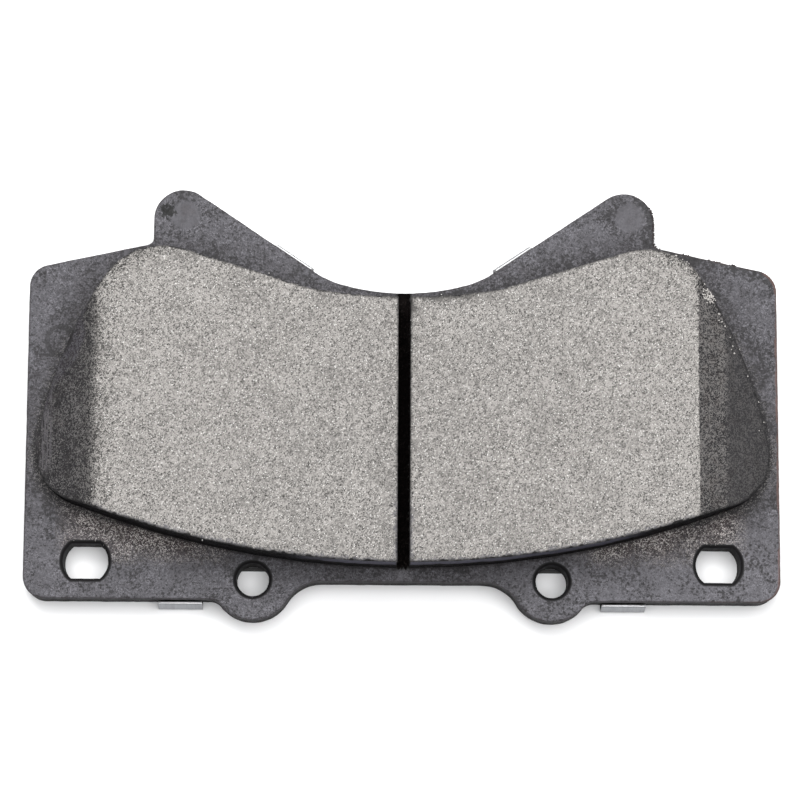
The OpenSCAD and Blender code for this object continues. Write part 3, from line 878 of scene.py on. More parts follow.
def friction_finish(settings, side, crest):
    """Ground friction face with a darker chamfer past its crest."""
    bench, place = new_finish("friction_right" if side > 0 else "friction_left")
    grain_size = settings.grain / MM
    base, moulded_tone, cut = tuple(settings.face), tuple(settings.moulded), tuple(settings.cut)
    x, y, _ = bench.split(place)
    edge = bench.attribute("edge")
    grain = bench.group(grain_effect(), Place=place, Grain=grain_size, Drag=1.0)
    coarse = bench.group(grain_effect(), Place=place, Grain=grain_size * 2.1, Drag=1.0)
    tone = (coarse["Tone"] - 0.5) * 0.30 + grain["Tone"]
    ends = abs(x).step(22.0, 56.0)
    tone = (tone - 0.5) * (ends * 0.42 + 1.45) + 0.500
    past = x * side - abs(crest)
    wobble = bench.wobble(place, 0.8, 3.0, 0.7)
    corner = (y + x * side).step(66.0, 88.0)
    rubbed = (wobble * 3.0 + edge).step(3.6 if side > 0 else 5.4, 0.0)
    rubbed = rubbed * (corner * 0.9 + 0.10)
    near_crest = past.step(-7.0, 0.5) * (0.0 if side > 0 else 0.75)
    tone = tone - bench.math("MAXIMUM", rubbed, near_crest) * 0.20
    face = bench.ramp(tone, [
        (0.16, tinted(base, 0.20)), (0.33, tinted(base, 0.55)), (0.45, tinted(base, 0.88)),
        (0.55, tinted(base, 1.06)), (0.66, tinted(base, 1.38)), (0.80, tinted(base, 2.1))])
    face = bench.mix(grain["Flake"] * 0.85, face, (0.56, 0.55, 0.53))
    face = bench.mix(grain["Pit"] * 0.90, face, tinted(base, 0.10))
    dots = bench.math("MAXIMUM", rubbed, near_crest) * tone.step(0.52, 0.40)
    face = bench.mix(dots * 0.85, face, tinted(base, 0.14))
    sprayed = (wobble * 4.0 + edge).step(0.9, 0.1)
    sprayed = sprayed * y.step(-18.0, -25.0)
    face = bench.mix(sprayed * 0.60, face, (0.080, 0.078, 0.092))
    smudge = bench.wobble(place, 2.4, 3.0, 0.7) * 6.0 + edge
    smudge = smudge.step(1.7, 0.4) * y.step(15.0, 18.0)
    smudge = smudge * (x.step(-6.0, -2.0) * x.step(16.0, 11.0))
    face = bench.mix(smudge * 0.70, face, tinted(base, 0.24))
    spot, _ = round_mark(bench, place, *FACE_SPOT, 1.0)
    face = bench.mix(spot * 0.30, face, tinted(base, 0.45))
    if side > 0:
        loose = y.step(12.0, 21.0) * 4.5 + 0.9
        moulded = (wobble * loose + past).step(-0.10, 0.12)
        worn = bench.ramp(tone, [
            (0.20, tinted(cut, 0.20)), (0.40, tinted(cut, 0.52)), (0.54, tinted(cut, 0.82)),
            (0.66, tinted(cut, 1.45)), (0.84, (0.13, 0.123, 0.119))])
        tint = bench.noise(place, 2.2, 2.0).step(0.48, 0.65)
        worn = bench.mix(tint * 0.16, worn, (0.040, 0.030, 0.026))
        lines = bench.group(lines_effect(), Place=place, Along_X=0.25, Along_Y=5.0, Along_Z=0.6)
        smooth = bench.ramp(lines["Line"], [
            (0.30, tinted(cut, 0.60)), (0.50, tinted(cut, 1.16)), (0.70, tinted(cut, 1.80))])
        smooth = bench.mix(0.35, smooth, worn)
        past_strip = (wobble * 2.2 + past).step(5.2, 6.6)
        chamfer = bench.mix(past_strip, worn, smooth)
        line_height = lines["Height"] * past_strip
    else:
        moulded = (wobble * 4.2 + past).step(-2.0, 1.3)
        chamfer = bench.ramp(tone, [
            (0.20, tinted(moulded_tone, 0.25)), (0.40, tinted(moulded_tone, 0.66)),
            (0.54, tinted(moulded_tone, 0.86)), (0.66, tinted(moulded_tone, 1.45)),
            (0.82, (0.10, 0.095, 0.094))])
        tint = bench.noise(place, 3.4, 2.0).step(0.45, 0.70)
        chamfer = bench.mix(tint * 0.20, chamfer, (0.025, 0.021, 0.020))
        lines = bench.group(lines_effect(), Place=place, Along_X=0.40, Along_Y=6.0, Along_Z=0.6)
        drawn = past.step(8.0, 9.0) * lines["Line"].step(0.47, 0.56)
        drawn = drawn * (y.step(-17.0, -12.0) * y.step(8.0, 2.0))
        chamfer = bench.mix(drawn * 0.60, chamfer, tinted(moulded_tone, 4.5))
        speckled = past.step(4.8, 0.4) * tone.step(0.56, 0.66)
        chamfer = bench.mix(speckled * 0.6, chamfer, tinted(base, 0.85))
        line_height = lines["Height"] * 0.3
    shade = bench.mix(moulded, face, chamfer)
    chipped = (wobble * 0.5 + bench.attribute("chip")).step(0.12, 0.45)
    shade = bench.mix(chipped * 0.88, shade, tinted(moulded_tone, 0.45))
    worn_edge = bench.group(wear_effect(), Place=place, Edge=edge, Width=0.55, Ragged=1.0)
    shade = bench.mix(worn_edge["Worn"] * 0.85, shade, tinted(moulded_tone, 0.5))
    if side < 0:
        reach = y.step(1.0, 8.0) * y.step(17.0, 11.0)
        reach = reach * 2.7 + 0.5
        sprayed = wobble * 1.8 + edge - reach
        sprayed = sprayed.step(0.3, -0.3) * past.step(1.2, 2.4)
        sprayed = sprayed * y.step(-6.0, -1.0)
        spray = bench.mix(tone.step(0.38, 0.66), (0.016, 0.014, 0.017), (0.056, 0.053, 0.060))
        broken = bench.noise(place, 1.6, 4.0, 0.75).step(0.38, 0.56)
        shade = bench.mix(sprayed * (broken * 0.65 + 0.30), shade, spray)
        shade = bench.mix(ring_mark(bench, place) * moulded, shade, (0.010, 0.009, 0.010))
    dust = bench.group(dust_effect(), Place=place, Amount=0.05)
    shade = bench.mix(dust["Dust"] * moulded, shade, tinted(base, 1.1))
    rough = grain["Tone"].fit(0.1, 0.9, 0.95, 0.62)
    height = coarse["Height"] * 0.6 + grain["Height"]
    height = line_height * 1.4 + height
    height = height * (moulded * 0.9 + 0.9)
    return bench.surface(Base_Color=shade, Roughness=rough, Specular_IOR_Level=0.20,
                         Normal=bench.bump(height, 0.00008, 1.0))


def moulded_finish(name, tone, grain_mm, pale, coated=None):
    """Dark moulded side of a block or underlayer, with a coated middle stretch on the outer edge."""
    bench, place = new_finish(name)
    x, y, z = bench.split(place)
    grain = bench.group(grain_effect(), Place=place, Grain=grain_mm, Drag=0.5)
    mottle = bench.group(mottle_effect(), Place=place, Patch=2.0, Speck=0.5, Cover=0.2)
    shade = bench.ramp(grain["Tone"], [
        (0.20, tinted(tone, 0.35)), (0.45, tinted(tone, 0.95)), (0.62, tinted(tone, 1.6)), (0.85, pale)])
    if coated is not None:
        wobble = bench.wobble(place, 5.0, 3.0, 0.6)
        where = wobble * 10.0 + x
        stretch = where.step(-24.0, -12.0) * where.step(52.0, 40.0)
        level = (wobble * 3.0 + z).step(11.5, 12.6)
        stretch = stretch * level * y.step(-24.0, -27.0)
        stretch = stretch * abs(x).step(1.25, 1.6)
        paint = bench.mix(grain["Tone"], tinted(coated, 0.6), tinted(coated, 1.4))
        shade = bench.mix(stretch, shade, paint)
    shade = bench.mix(mottle["Speck"] * 0.5, shade, tinted(tone, 0.4))
    height = mottle["Patch"] * 0.7 + grain["Height"]
    return bench.surface(Base_Color=shade, Roughness=grain["Tone"].fit(0.0, 1.0, 0.92, 0.70),
                         Specular_IOR_Level=0.04, Normal=bench.bump(height, 0.00012, 0.9))


def steel_finish(name, tone, roughness, along, levels=None):
    """Rolled sheet steel with fine drawn lines.

    Levels are the heights of a black inner face and of cut tips with a painted highlight, where it has
    them.
    """
    bench, place = new_finish(name)
    _, y, z = bench.split(place)
    lines = bench.group(lines_effect(), Place=place, Along_X=along[0], Along_Y=along[1], Along_Z=along[2])
    mottle = bench.group(mottle_effect(), Place=place, Patch=4.0, Speck=0.5, Cover=0.08)
    shade = bench.mix(lines["Line"].step(0.30, 0.70), tinted(tone, 0.70), tinted(tone, 1.12))
    shade = bench.mix(mottle["Patch"].step(0.45, 0.75) * 0.22, shade, tinted(tone, 0.62))
    shade = bench.mix(mottle["Speck"] * 0.35, shade, tinted(tone, 0.5))
    rough = lines["Line"].fit(0.3, 0.7, roughness * 0.85, roughness * 1.25)
    metal = 1.0
    if levels is not None:
        inner, tip = levels
        across, _, facing = bench.split(bench.field("ShaderNodeNewGeometry", None, "True Normal"))
        painted = bench.math("GREATER_THAN", facing, 0.9) * bench.math("LESS_THAN", z, inner + 0.05)
        skin = bench.mix(mottle["Patch"], (0.004, 0.004, 0.004), (0.010, 0.010, 0.011))
        # Painted highlight: the up-facing cut tips of the lower tabs are painted near-white.
        cut = z.step(tip - 0.30, tip - 0.10) * facing.step(0.4, 0.8)
        raised = z.step(inner + 0.1, inner + 0.5)
        upper = y.step(-5.0, 5.0)
        # Painted shade: the raised tabs are darkened, the upper ones, which face the bright sky, the most.
        dimmed = raised * (upper * 0.45 + 0.50)
        shade = bench.mix(dimmed, shade, tinted(tone, 0.05))
        # Painted shade: a dark line along the fold below each tip, and dark cut ends on the raised tabs.
        crease = abs(z - (tip - 0.60)).step(0.26, 0.10)
        ends = raised * bench.math("GREATER_THAN", abs(across), 0.75)
        shade = bench.mix(crease * 0.55, shade, (0.05, 0.05, 0.055))
        shade = bench.mix(ends, shade, (0.02, 0.02, 0.022))
        shade = bench.mix(cut, shade, bench.mix(upper, (0.90, 0.90, 0.91), (0.46, 0.46, 0.47)))
        shade = bench.mix(painted, shade, skin)
        rough = bench.math("MAXIMUM", rough, painted * 0.6)
        metal = 1.0 - painted
    return bench.surface(Base_Color=shade, Metallic=metal, Roughness=rough,
                         Normal=bench.bump(lines["Height"], 0.00001, 0.5))


def rubber_finish(settings):
    """Black damping rubber with a fine pebbled skin."""
    bench, place = new_finish("damping_rubber")
    mottle = bench.group(mottle_effect(), Place=place, Patch=1.5, Speck=0.3, Cover=0.25)
    dust = bench.group(dust_effect(), Place=place, Amount=0.35)
    shade = bench.mix(mottle["Patch"], tinted(settings.rubber, 0.7), tinted(settings.rubber, 1.5))
    shade = bench.mix(dust["Dust"], shade, (0.10, 0.095, 0.09))
    height = mottle["Speck"] * 0.5 + mottle["Patch"]
    return bench.surface(Base_Color=shade, Roughness=mottle["Patch"].fit(0.2, 0.8, 0.62, 0.85),
                         Normal=bench.bump(height, 0.00004, 0.7))


def adhesive_finish(settings):
    """Amber-brown cured adhesive, slightly glossy, with trapped specks."""
    bench, place = new_finish("cured_adhesive")
    mottle = bench.group(mottle_effect(), Place=place, Patch=1.8, Speck=0.35, Cover=0.22)
    shade = bench.mix(mottle["Patch"], tinted(settings.adhesive, 0.6), tinted(settings.adhesive, 1.7))
    shade = bench.mix(mottle["Speck"] * 0.6, shade, (0.02, 0.018, 0.016))
    return bench.surface(Base_Color=shade, Roughness=mottle["Patch"].fit(0.2, 0.8, 0.30, 0.52),
                         Normal=bench.bump(mottle["Patch"], 0.00005, 0.6))


def crumb_finish(name, dark, pale):
    """Grainy crumbs between two tones."""
    bench, place = new_finish(name)
    grain = bench.group(grain_effect(), Place=place, Grain=0.25)
    shade = bench.mix(grain["Tone"].step(0.25, 0.70), dark, pale)
    return bench.surface(Base_Color=shade, Roughness=grain["Tone"].fit(0.0, 1.0, 0.85, 0.45),
                         Normal=bench.bump(grain["Height"], 0.00003, 0.6))


def floor_finish(settings):
    """Plain pale floor with a trace of grain."""
    bench, place = new_finish("floor")
    patch = bench.noise(place, 60.0, 2.0)
    shade = bench.mix(patch, tinted(settings.floor, 0.99), tinted(settings.floor, 1.01))
    return bench.surface(Base_Color=shade, Roughness=patch.fit(0.0, 1.0, 0.75, 0.85))


# ---------------------------------------------------------------- scattered pieces


def scatter_tree(name):
    """Irregular small lumps scattered over a surface, by the cover painted on it."""
    tree = bpy.data.node_groups.new(name, "GeometryNodeTree")
    tree.interface.new_socket("Geometry", in_out="INPUT", socket_type="NodeSocketGeometry")
    for key, default in (("Density", 1.0), ("Size", 0.0002), ("Height", 1.0), ("Tilt", FULL_TURN)):
        socket = tree.interface.new_socket(key, in_out="INPUT", socket_type="NodeSocketFloat")
        socket.default_value = default
    tree.interface.new_socket("Seed", in_out="INPUT", socket_type="NodeSocketInt")
    tree.interface.new_socket("Material", in_out="INPUT", socket_type="NodeSocketMaterial")
    tree.interface.new_socket("Geometry", in_out="OUTPUT", socket_type="NodeSocketGeometry")
    bench = Bench(tree)
    given = bench.fields("NodeGroupInput")
    cover = bench.field("GeometryNodeInputNamedAttribute", {"Name": "cover"}, "Attribute",
                        data_type="FLOAT")
    points = bench.field("GeometryNodeDistributePointsOnFaces", {
        "Mesh": given["Geometry"], "Density": given["Density"] * cover, "Seed": given["Seed"]}, "Points")
    ball = bench.field("GeometryNodeMeshIcoSphere", {"Radius": 1.0, "Subdivisions": 1})
    here = bench.field("GeometryNodeInputPosition")
    dent = bench.field("ShaderNodeTexNoise", {"Vector": here, "Scale": 1.3}, "Color")
    dent = bench.scaled(bench.vector("SUBTRACT", dent, (0.5, 0.5, 0.5)), 1.1)
    lump = bench.field("GeometryNodeSetPosition", {"Geometry": ball, "Offset": dent})

    def random(low, high, number):
        return bench.field("FunctionNodeRandomValue", {0: low, 1: high, "Seed": given["Seed"] + number},
                           data_type="FLOAT_VECTOR")

    turn = bench.vector("MULTIPLY", random((-0.5,) * 3, (0.5,) * 3, 1),
                        bench.joined(given["Tilt"], given["Tilt"], FULL_TURN))
    flat = bench.joined(given["Size"], given["Size"], given["Size"] * given["Height"])
    size = bench.vector("MULTIPLY", random((0.35, 0.35, 0.5), (1.0, 0.8, 1.0), 2), flat)
    lumps = bench.field("GeometryNodeInstanceOnPoints", {
        "Points": points, "Instance": lump, "Rotation": turn, "Scale": size})
    solid = bench.field("GeometryNodeRealizeInstances", {"Geometry": lumps})
    painted = bench.field("GeometryNodeSetMaterial", {"Geometry": solid, "Material": given["Material"]})
    bench.add("NodeGroupOutput", {"Geometry": painted})
    return tree


def scatter(name, points, faces, cover, material, **values):
    """Scatters lumps over the given faces and returns them as one plain mesh."""
    tree = bpy.data.node_groups.get("Loose lumps") or scatter_tree("Loose lumps")
    mesh = bpy.data.meshes.new(name)
    mesh.from_pydata((np.asarray(points) * MM).tolist(), [], faces)
    add_values(mesh, "cover", cover)
    mesh.update()
    bed = bpy.data.objects.new(name + "_bed", mesh)
    bpy.context.scene.collection.objects.link(bed)
    modifier = bed.modifiers.new("Lumps", "NODES")
    modifier.node_group = tree
    sockets = {s.name: s.identifier for s in tree.interface.items_tree if s.in_out == "INPUT"}
    for key, value in (*values.items(), ("Material", material)):
        modifier[sockets[key]] = value
    graph = bpy.context.evaluated_depsgraph_get()
    made = bpy.data.meshes.new_from_object(bed.evaluated_get(graph), depsgraph=graph)
    bpy.data.objects.remove(bed)
    made.name = name
    if not len(made.polygons):
        raise ValueError(f"{name} came out empty")
    return link_piece(name, made)


def cells_over(low, high, step):
    """A plan grid of square cells between two corners."""
    columns = np.arange(low[0], high[0] + step / 2, step)
    lines = np.arange(low[1], high[1] + step / 2, step)
    x, y = np.meshgrid(columns, lines)
    wide = len(columns)
    faces = [(r * wide + c, r * wide + c + 1, (r + 1) * wide + c + 1, (r + 1) * wide + c)
             for r in range(len(lines) - 1) for c in range(wide - 1)]
    return np.column_stack([x.ravel(), y.ravel()]), faces


def strip_faces(outline, chosen, count):
    """Cells along an outline whose chosen points each carry a column of count points."""
    first = {i: n * count for n, i in enumerate(chosen)}
    faces = []
    for i in chosen:
        after = int(outline.after[i])
        if after in first:
            a, b = first[i], first[after]
            faces += [(a + k, a + k + 1, b + k + 1, b + k) for k in range(count - 1)]
    return faces


# ---------------------------------------------------------------- pieces

# Spacing of the points along an outline.
PLATE_STEP, BLOCK_STEP = 0.5, 0.45
# Distances of the rows of points that follow an outline inwards.
PLATE_RINGS, BLOCK_RINGS = (0.08, 0.2, 0.36, 0.56, 0.8), (0.06, 0.16, 0.3, 0.5)
# Rows of faces down a side wall.
PLATE_ROWS, BLOCK_ROWS, BED_ROWS = 9, 14, 6
# Hollows in the plate: one on the left ear, one on the left lobe, each with x, y, radius and depth.
EAR_DENT, LOBE_DENT = (-48.2, 39.4, 1.6, 0.12), (-30.2, -39.4, 0.7, 0.3)
# The strip of plate at the bottom of the slot, painted near-black as shade: half its width, then its ends
# along Y.
SLOT_SHADE_STRIP = (1.35, -33.4, 23.0)
# How far the smooth lead-in of a hole reaches.
LEAD_IN = 0.60


def sand_cover(plan):
    """How thickly sandy grit lies at each plan point of the plate, from 0 to 1."""
    across = np.abs(plan[:, 0])
    sides = np.clip((across - 32.0) / 8.0, 0, 1) * np.clip((70.0 - across) / 6.0, 0, 1)
    down = np.clip((plan[:, 1] + 33.5) / 5.0, 0, 1) * np.clip((-12.0 - plan[:, 1]) / 5.0, 0, 1)
    return np.clip(sides * down * (0.5 + 0.9 * ripple(flat_points(plan), 4.0, 9)), 0, 1)


def make_plate(settings):
    """The pressed and coated backing plate."""
    low, high = node_levels("backing_plate")
    outline = outline_of("backing_plate", PLATE_STEP)
    inner = outline.fill(settings.step / MM, PLATE_RINGS, 3)
    plan = np.vstack([outline.points, inner])
    distance, owner = outline.nearest(plan)
    roll = np.where(owner == 0, settings.edge_roll / MM, settings.hole_roll / MM)
    drop = rolled(distance, roll)
    for x, y, radius in EAR_MARKS:
        drop += disc(plan, x, y, radius, 0.05, 0.35)
    flat = flat_points(plan)
    drop += 0.02 * ripple(flat, 5.0, 1) + 0.012 * ripple(flat, 1.6, 2)
    drop += hollow(plan, *EAR_DENT) * ripple(flat, 0.8, 4) + hollow(plan, *LOBE_DENT)
    heights = high - drop
    shell = Shell()
    rim = shell.cover(outline, inner, heights, True, FACE, edge=distance)
    tops = heights[:len(rim)]

    def dent(place):
        torn = np.clip((high - 2.2 - place[:, 2]) / 1.5, 0, 1)
        return 0.02 + 0.07 * torn * ripple(place, (0.9, 0.9, 1.4), 5)

    foot = shell.drop(outline, rim, tops, low, PLATE_ROWS, dent, WALL)
    shell.cap(outline, low, FACE, foot)
    middles = np.array([np.mean([shell.points[i] for i in f[:3]], axis=0) for f in shell.faces])
    across, along, level = middles.T
    # Top faces of the plate in the slot strip take the slot's painted shade.
    half, start, end = SLOT_SHADE_STRIP
    slot_shaded = (np.abs(across) < half) & (along > start) & (along < end) & (level > high - 0.5)
    from_hole = np.where(owner > 0, distance, FAR)
    rest = len(shell.points) - len(plan)
    reach = np.concatenate([from_hole, np.full(rest, FAR)])
    lead_in = np.array([reach[list(f[:3])].max() < LEAD_IN for f in shell.faces])
    shell.finishes = np.where(lead_in, WALL, np.where(slot_shaded, SLOT_SHADE, shell.finishes)).tolist()
    piece = shell.make("plate", [coat_finish(settings), hole_finish(settings), slot_shade_finish()],
                       warp=lambda points: uneven(points, 0.07, 1.7, 8))
    reach = np.full(len(plan), 1e9)
    for node in BLOCKS:
        block = outline_of(node, 1.0)
        apart, _ = block.nearest(plan)
        reach = np.minimum(reach, np.where(block.inside(plan), 0.0, apart))
    for key, values, beyond in (("foot", reach, FAR), ("rim", from_hole, FAR),
                                ("sand", sand_cover(plan), 0.0)):
        add_values(piece.data, key, np.concatenate([values, np.full(rest, beyond)]))
    place_piece(piece, "coated_steel", "backing_plate")


def make_block(settings, node, side, seed):
    """One friction block, ground on top and moulded round its sides.

    Returns its plan points, their distances from the edge and where its chamfer starts.
    """
    low, _ = node_levels(node)
    crest = crest_of(node, side)
    outline = outline_of(node, BLOCK_STEP)
    inner = outline.fill(settings.step / MM, BLOCK_RINGS, seed)
    plan = np.vstack([outline.points, inner])
    inward = np.vstack([outline.inward * 0.03, np.zeros_like(inner)])
    tops = tops_of(node, plan, inward)
    distance, _ = outline.nearest(plan)
    flat = flat_points(plan)
    ragged = settings.edge_round / MM * (0.5 + 1.9 * ripple(flat, 2.2, seed) ** 2)
    drop = rolled(distance, ragged)
    random = np.random.default_rng(seed)
    chips = np.zeros(len(plan))
    at = random.integers(0, len(outline.points), settings.chips)
    for i, size, deep in zip(at, random.uniform(0.25, 1.0, len(at)), random.uniform(0.25, 0.6, len(at))):
        radius = settings.chip / MM * size
        spot = outline.points[i] - outline.inward[i] * 0.05
        clean = 0.35 if abs(spot[0]) < 3 or (spot[0] > 12 and spot[1] > 8) else 0.8
        chips += hollow(plan, spot[0], spot[1], radius * clean, radius * deep * clean)
    drop += chips
    past = plan[:, 0] * side - abs(crest)
    on_chamfer = np.clip(past / 0.5 + 0.5, 0, 1)
    relief = settings.relief / MM
    lumpy = 0.6 * ripple(flat, 0.9, seed + 1) + 0.4 * ripple(flat, 2.6, seed + 2)
    if side > 0:
        smooth = np.clip(past - 5.5, 0, 1)
        lines = ripple(flat, (0.45, 7.0, 1.0), seed + 3)
        lumpy = lumpy * (1 - 0.75 * smooth) + 0.35 * smooth * lines
    drop += relief * on_chamfer * lumpy
    drop += 0.10 * np.exp(-(past / 0.35) ** 2) * ripple(flat, 0.8, seed + 4)
    pits = np.clip((ripple(flat, 0.75, seed + 5) - 0.80) / 0.2, 0, 1)
    drop += (1 - on_chamfer) * (0.02 + 0.02 * ripple(flat, 0.6, seed + 6) + 0.10 * pits)
    heights = np.maximum(tops - drop, low + 0.12)
    shell = Shell()
    rim = shell.cover(outline, inner, heights, True, FACE, edge=distance)

    def dent(place):
        return relief * (0.2 + 1.1 * ripple(place, 0.8, seed + 7) * ripple(place, 2.5, seed + 8) * 2)

    foot = shell.drop(outline, rim, heights[:len(rim)], low, BLOCK_ROWS, dent, WALL)
    shell.cap(outline, low, WALL, foot)
    wall = bpy.data.materials.get("moulded_side") or moulded_finish(
        "moulded_side", tinted(settings.moulded, 0.32), 0.4, (0.040, 0.038, 0.040), (0.066, 0.064, 0.082))
    piece = shell.make("facing_right" if side > 0 else "facing_left",
                       [friction_finish(settings, side, crest), wall], 60.0)
    add_values(piece.data, "chip",
               np.concatenate([np.clip(chips / 0.25, 0, 1), np.zeros(len(shell.points) - len(plan))]))
    place_piece(piece, "friction_mix", node)
    return plan, distance, crest


def make_underlayer(settings, node, side, seed):
    """The softer layer under one block, with plugs that fill the holes of the plate."""
    low, high = node_levels(node)
    top = Outline(edge_loops(node, high, 1), BLOCK_STEP)
    base = node_levels("bond_film_right" if side > 0 else "bond_film_left")[1]
    under = edge_loops(node, base, -1)
    bottom = Outline([top.loops[0].tolist()] + [loop for loop in under if signed_area(loop) < 0], 0.6)
    shell = Shell()
    rim = shell.cap(top, high, FACE, up=True)
    relief = settings.relief / MM

    def dent(place):
        return relief * (0.3 + 1.4 * ripple(place, 0.7, seed) * ripple(place, 2.2, seed + 1))

    foot = shell.drop(top, rim, np.full(len(top.points), high), base, BED_ROWS, dent, FACE)
    holes = bottom.points[len(top.points):]
    ring = shell.add_points(flat_points(holes, base))
    shell.cap(bottom, base, FACE, np.concatenate([foot, ring]))
    start = 0
    for loop in bottom.loops[1:]:
        plug = Outline([loop[::-1].tolist()], 5.0)
        upper = ring[start:start + len(loop)][::-1]
        lower = shell.add_points(flat_points(plug.points, low))
        shell.walls(plug, upper, lower, FACE)
        shell.cap(plug, low, FACE, lower)
        start += len(loop)
    finish = bpy.data.materials.get("underlayer_mix") or moulded_finish(
        "underlayer_mix", tuple(settings.underlayer), 0.5, (0.05, 0.048, 0.046))
    piece = shell.make("bed_right" if side > 0 else "bed_left", [finish], 50.0)
    place_piece(piece, "underlayer", node)


def make_clip_shim(settings):
    """The folded stainless shim, with its cut edges eased."""
    shape = bmesh.new()
    shape.from_mesh(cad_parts["outer_shim"].data)
    bmesh.ops.remove_doubles(shape, verts=shape.verts, dist=WELD)
    bmesh.ops.dissolve_limit(shape, angle_limit=math.radians(0.5), verts=shape.verts, edges=shape.edges,
                             delimit={"NORMAL"})
    sharp = [e for e in shape.edges if e.is_manifold and e.calc_face_angle(0) > math.radians(60)]
    bmesh.ops.bevel(shape, geom=sharp, offset=settings.edge_round, segments=2, profile=0.6,
                    affect="EDGES", clamp_overlap=True)
    bmesh.ops.triangulate(shape, faces=[f for f in shape.faces if len(f.verts) > 4])
    mesh = bpy.data.meshes.new("clip_shim")
    shape.to_mesh(mesh)
    shape.free()
    levels = (node_levels("inner_shim_rear_rubber")[0], node_levels("outer_shim")[1])
    mesh.materials.append(steel_finish("stainless", tuple(settings.steel), 0.32, (0.12, 3.0, 3.0), levels))
    place_piece(link_piece("clip_shim", mesh, 35.0), "stainless", "outer_shim")


def paint_node(node, material):
    """Gives a CAD node whose shape is right its finish."""
    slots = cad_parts[node].material_slots
    for slot in slots:
        slot.link = "OBJECT"
        slot.material = material


def make_flakes(settings, name, plan, distance, crest, side, material, seed):
    """Bright flakes lying in the ground face of one block."""
    points, faces = cells_over(plan.min(0), plan.max(0), 2.0)
    tree = tree_of(plan)
    near = [tree.find((p[0], p[1], 0.0)) for p in points]
    number = np.array([n[1] for n in near])
    apart = np.array([n[2] for n in near])
    past = points[:, 0] * side - abs(crest)
    cover = ((apart < 0.5) & (distance[number] > 1.5) & (past < -2.0)).astype(float)
    level = node_levels("friction_right")[1] - 0.03
    piece = scatter(name, flat_points(points, level), faces, cover, material,
                    Density=settings.flakes / MM ** 2, Size=settings.flake, Height=0.10, Tilt=0.25,
                    Seed=seed)
    place_piece(piece, "friction_mix")


def make_crumbs(settings):
    """Pale crumbs clinging to the outer rim of the right block."""
    node = "friction_right"
    block = outline_of(node, BLOCK_STEP)
    high = node_levels(node)[1]
    chosen = [i for i, p in enumerate(block.points) if p[0] > 54.0 and -6.0 < p[1] < 30.0]
    strips = ((2.0, 0.02, 0.25), (1.0, 0.02, 0.8), (0.3, 0.06, 1.0), (-0.15, 0.45, 0.3))
    tops = [tops_of(node, block.points, block.inward * max(inward, 0.1)) for inward, _, _ in strips]
    points, cover = [], []
    for i in chosen:
        x, y = block.points[i]
        upper = max(0.0, min(1.0, (y - 19.0) / 3.0))
        heap = math.exp(-((y - 21.2) / 0.8) ** 2)
        clump = np.clip(ripple(flat_points([(x, y)]), 1.3, 77)[0] * 2.6 - 0.9, 0, 1)
        for (inward, fall, share), heights in zip(strips, tops):
            place = block.points[i] + block.inward[i] * inward
            points.append((place[0], place[1], min(heights[i] - fall, high - 0.3)))
            cover.append(share * (0.04 + 0.45 * upper * clump + 4.0 * heap))
    faces = strip_faces(block, chosen, len(strips))
    pale = crumb_finish("pale_crumbs", (0.12, 0.112, 0.106), (0.44, 0.42, 0.40))
    piece = scatter("crumbs", np.array(points), faces, cover, pale,
                    Density=settings.crumbs / MM ** 2, Size=settings.crumb, Height=1.0, Tilt=FULL_TURN,
                    Seed=settings.seed)
    place_piece(piece, "friction_mix")


def make_burrs(settings):
    """Black crusts of coat on the outer side of the right ear and along the shoulder beside it."""
    plate = outline_of("backing_plate", 0.4)
    level = node_levels("backing_plate")[1]
    chosen = [i for i, p in enumerate(plate.points) if 49.0 < p[0] < 70.0 and p[1] > 24.0]
    points, cover = [], []
    for i in chosen:
        x, y = plate.points[i]
        clump = np.clip(ripple(flat_points([(x, y)]), 1.6, 78)[0] * 4.0 - 2.2, 0, 1)
        ear = max(0.0, min(1.0, 41.5 - y, y - 32.5)) if x < 52.5 else 0.55 * clump
        points += [(x, y, level - 1.2), (x, y, level - 0.15)]
        cover += [ear] * 2
    faces = strip_faces(plate, chosen, 2)
    crust = crumb_finish("coat_crust", BLACK_GRAIN, (0.030, 0.021, 0.021))
    piece = scatter("burrs", np.array(points), faces, cover, crust,
                    Density=settings.burrs / MM ** 2, Size=settings.burr, Height=0.9, Tilt=FULL_TURN,
                    Seed=settings.seed + 5)
    place_piece(piece, "coated_steel")


def make_grit(settings):
    """Sandy grit on the plate between the blocks and the holes."""
    plate = outline_of("backing_plate", PLATE_STEP)
    level = node_levels("backing_plate")[1]
    points, faces = cells_over((-72.0, -38.0), (72.0, -18.0), 0.8)
    distance, _ = plate.nearest(points)
    open_plate = plate.inside(points) & (distance > 1.2)
    for node in BLOCKS:
        open_plate &= ~outline_of(node, 1.0).inside(points)
    cover = sand_cover(points) * open_plate
    sandy = crumb_finish("sandy_grit", (0.020, 0.015, 0.013), (0.30, 0.275, 0.26))
    piece = scatter("grit", flat_points(points, level - 0.02), faces, cover, sandy,
                    Density=settings.grits / MM ** 2, Size=settings.grit, Height=0.7, Tilt=FULL_TURN,
                    Seed=settings.seed + 3)
    place_piece(piece, "coated_steel")


# ---------------------------------------------------------------- stage


def add_light(name, place, aim, size, power):
    data = bpy.data.lights.new(name, "AREA")
    data.shape = "DISK"
    data.size = size
    data.energy = power
    lamp = bpy.data.objects.new(name, data)
    lamp.location = place
    lamp.rotation_mode = "QUATERNION"
    lamp.rotation_quaternion = (Vector(aim) - Vector(place)).to_track_quat("-Z", "Y")
    bpy.context.scene.collection.objects.link(lamp)


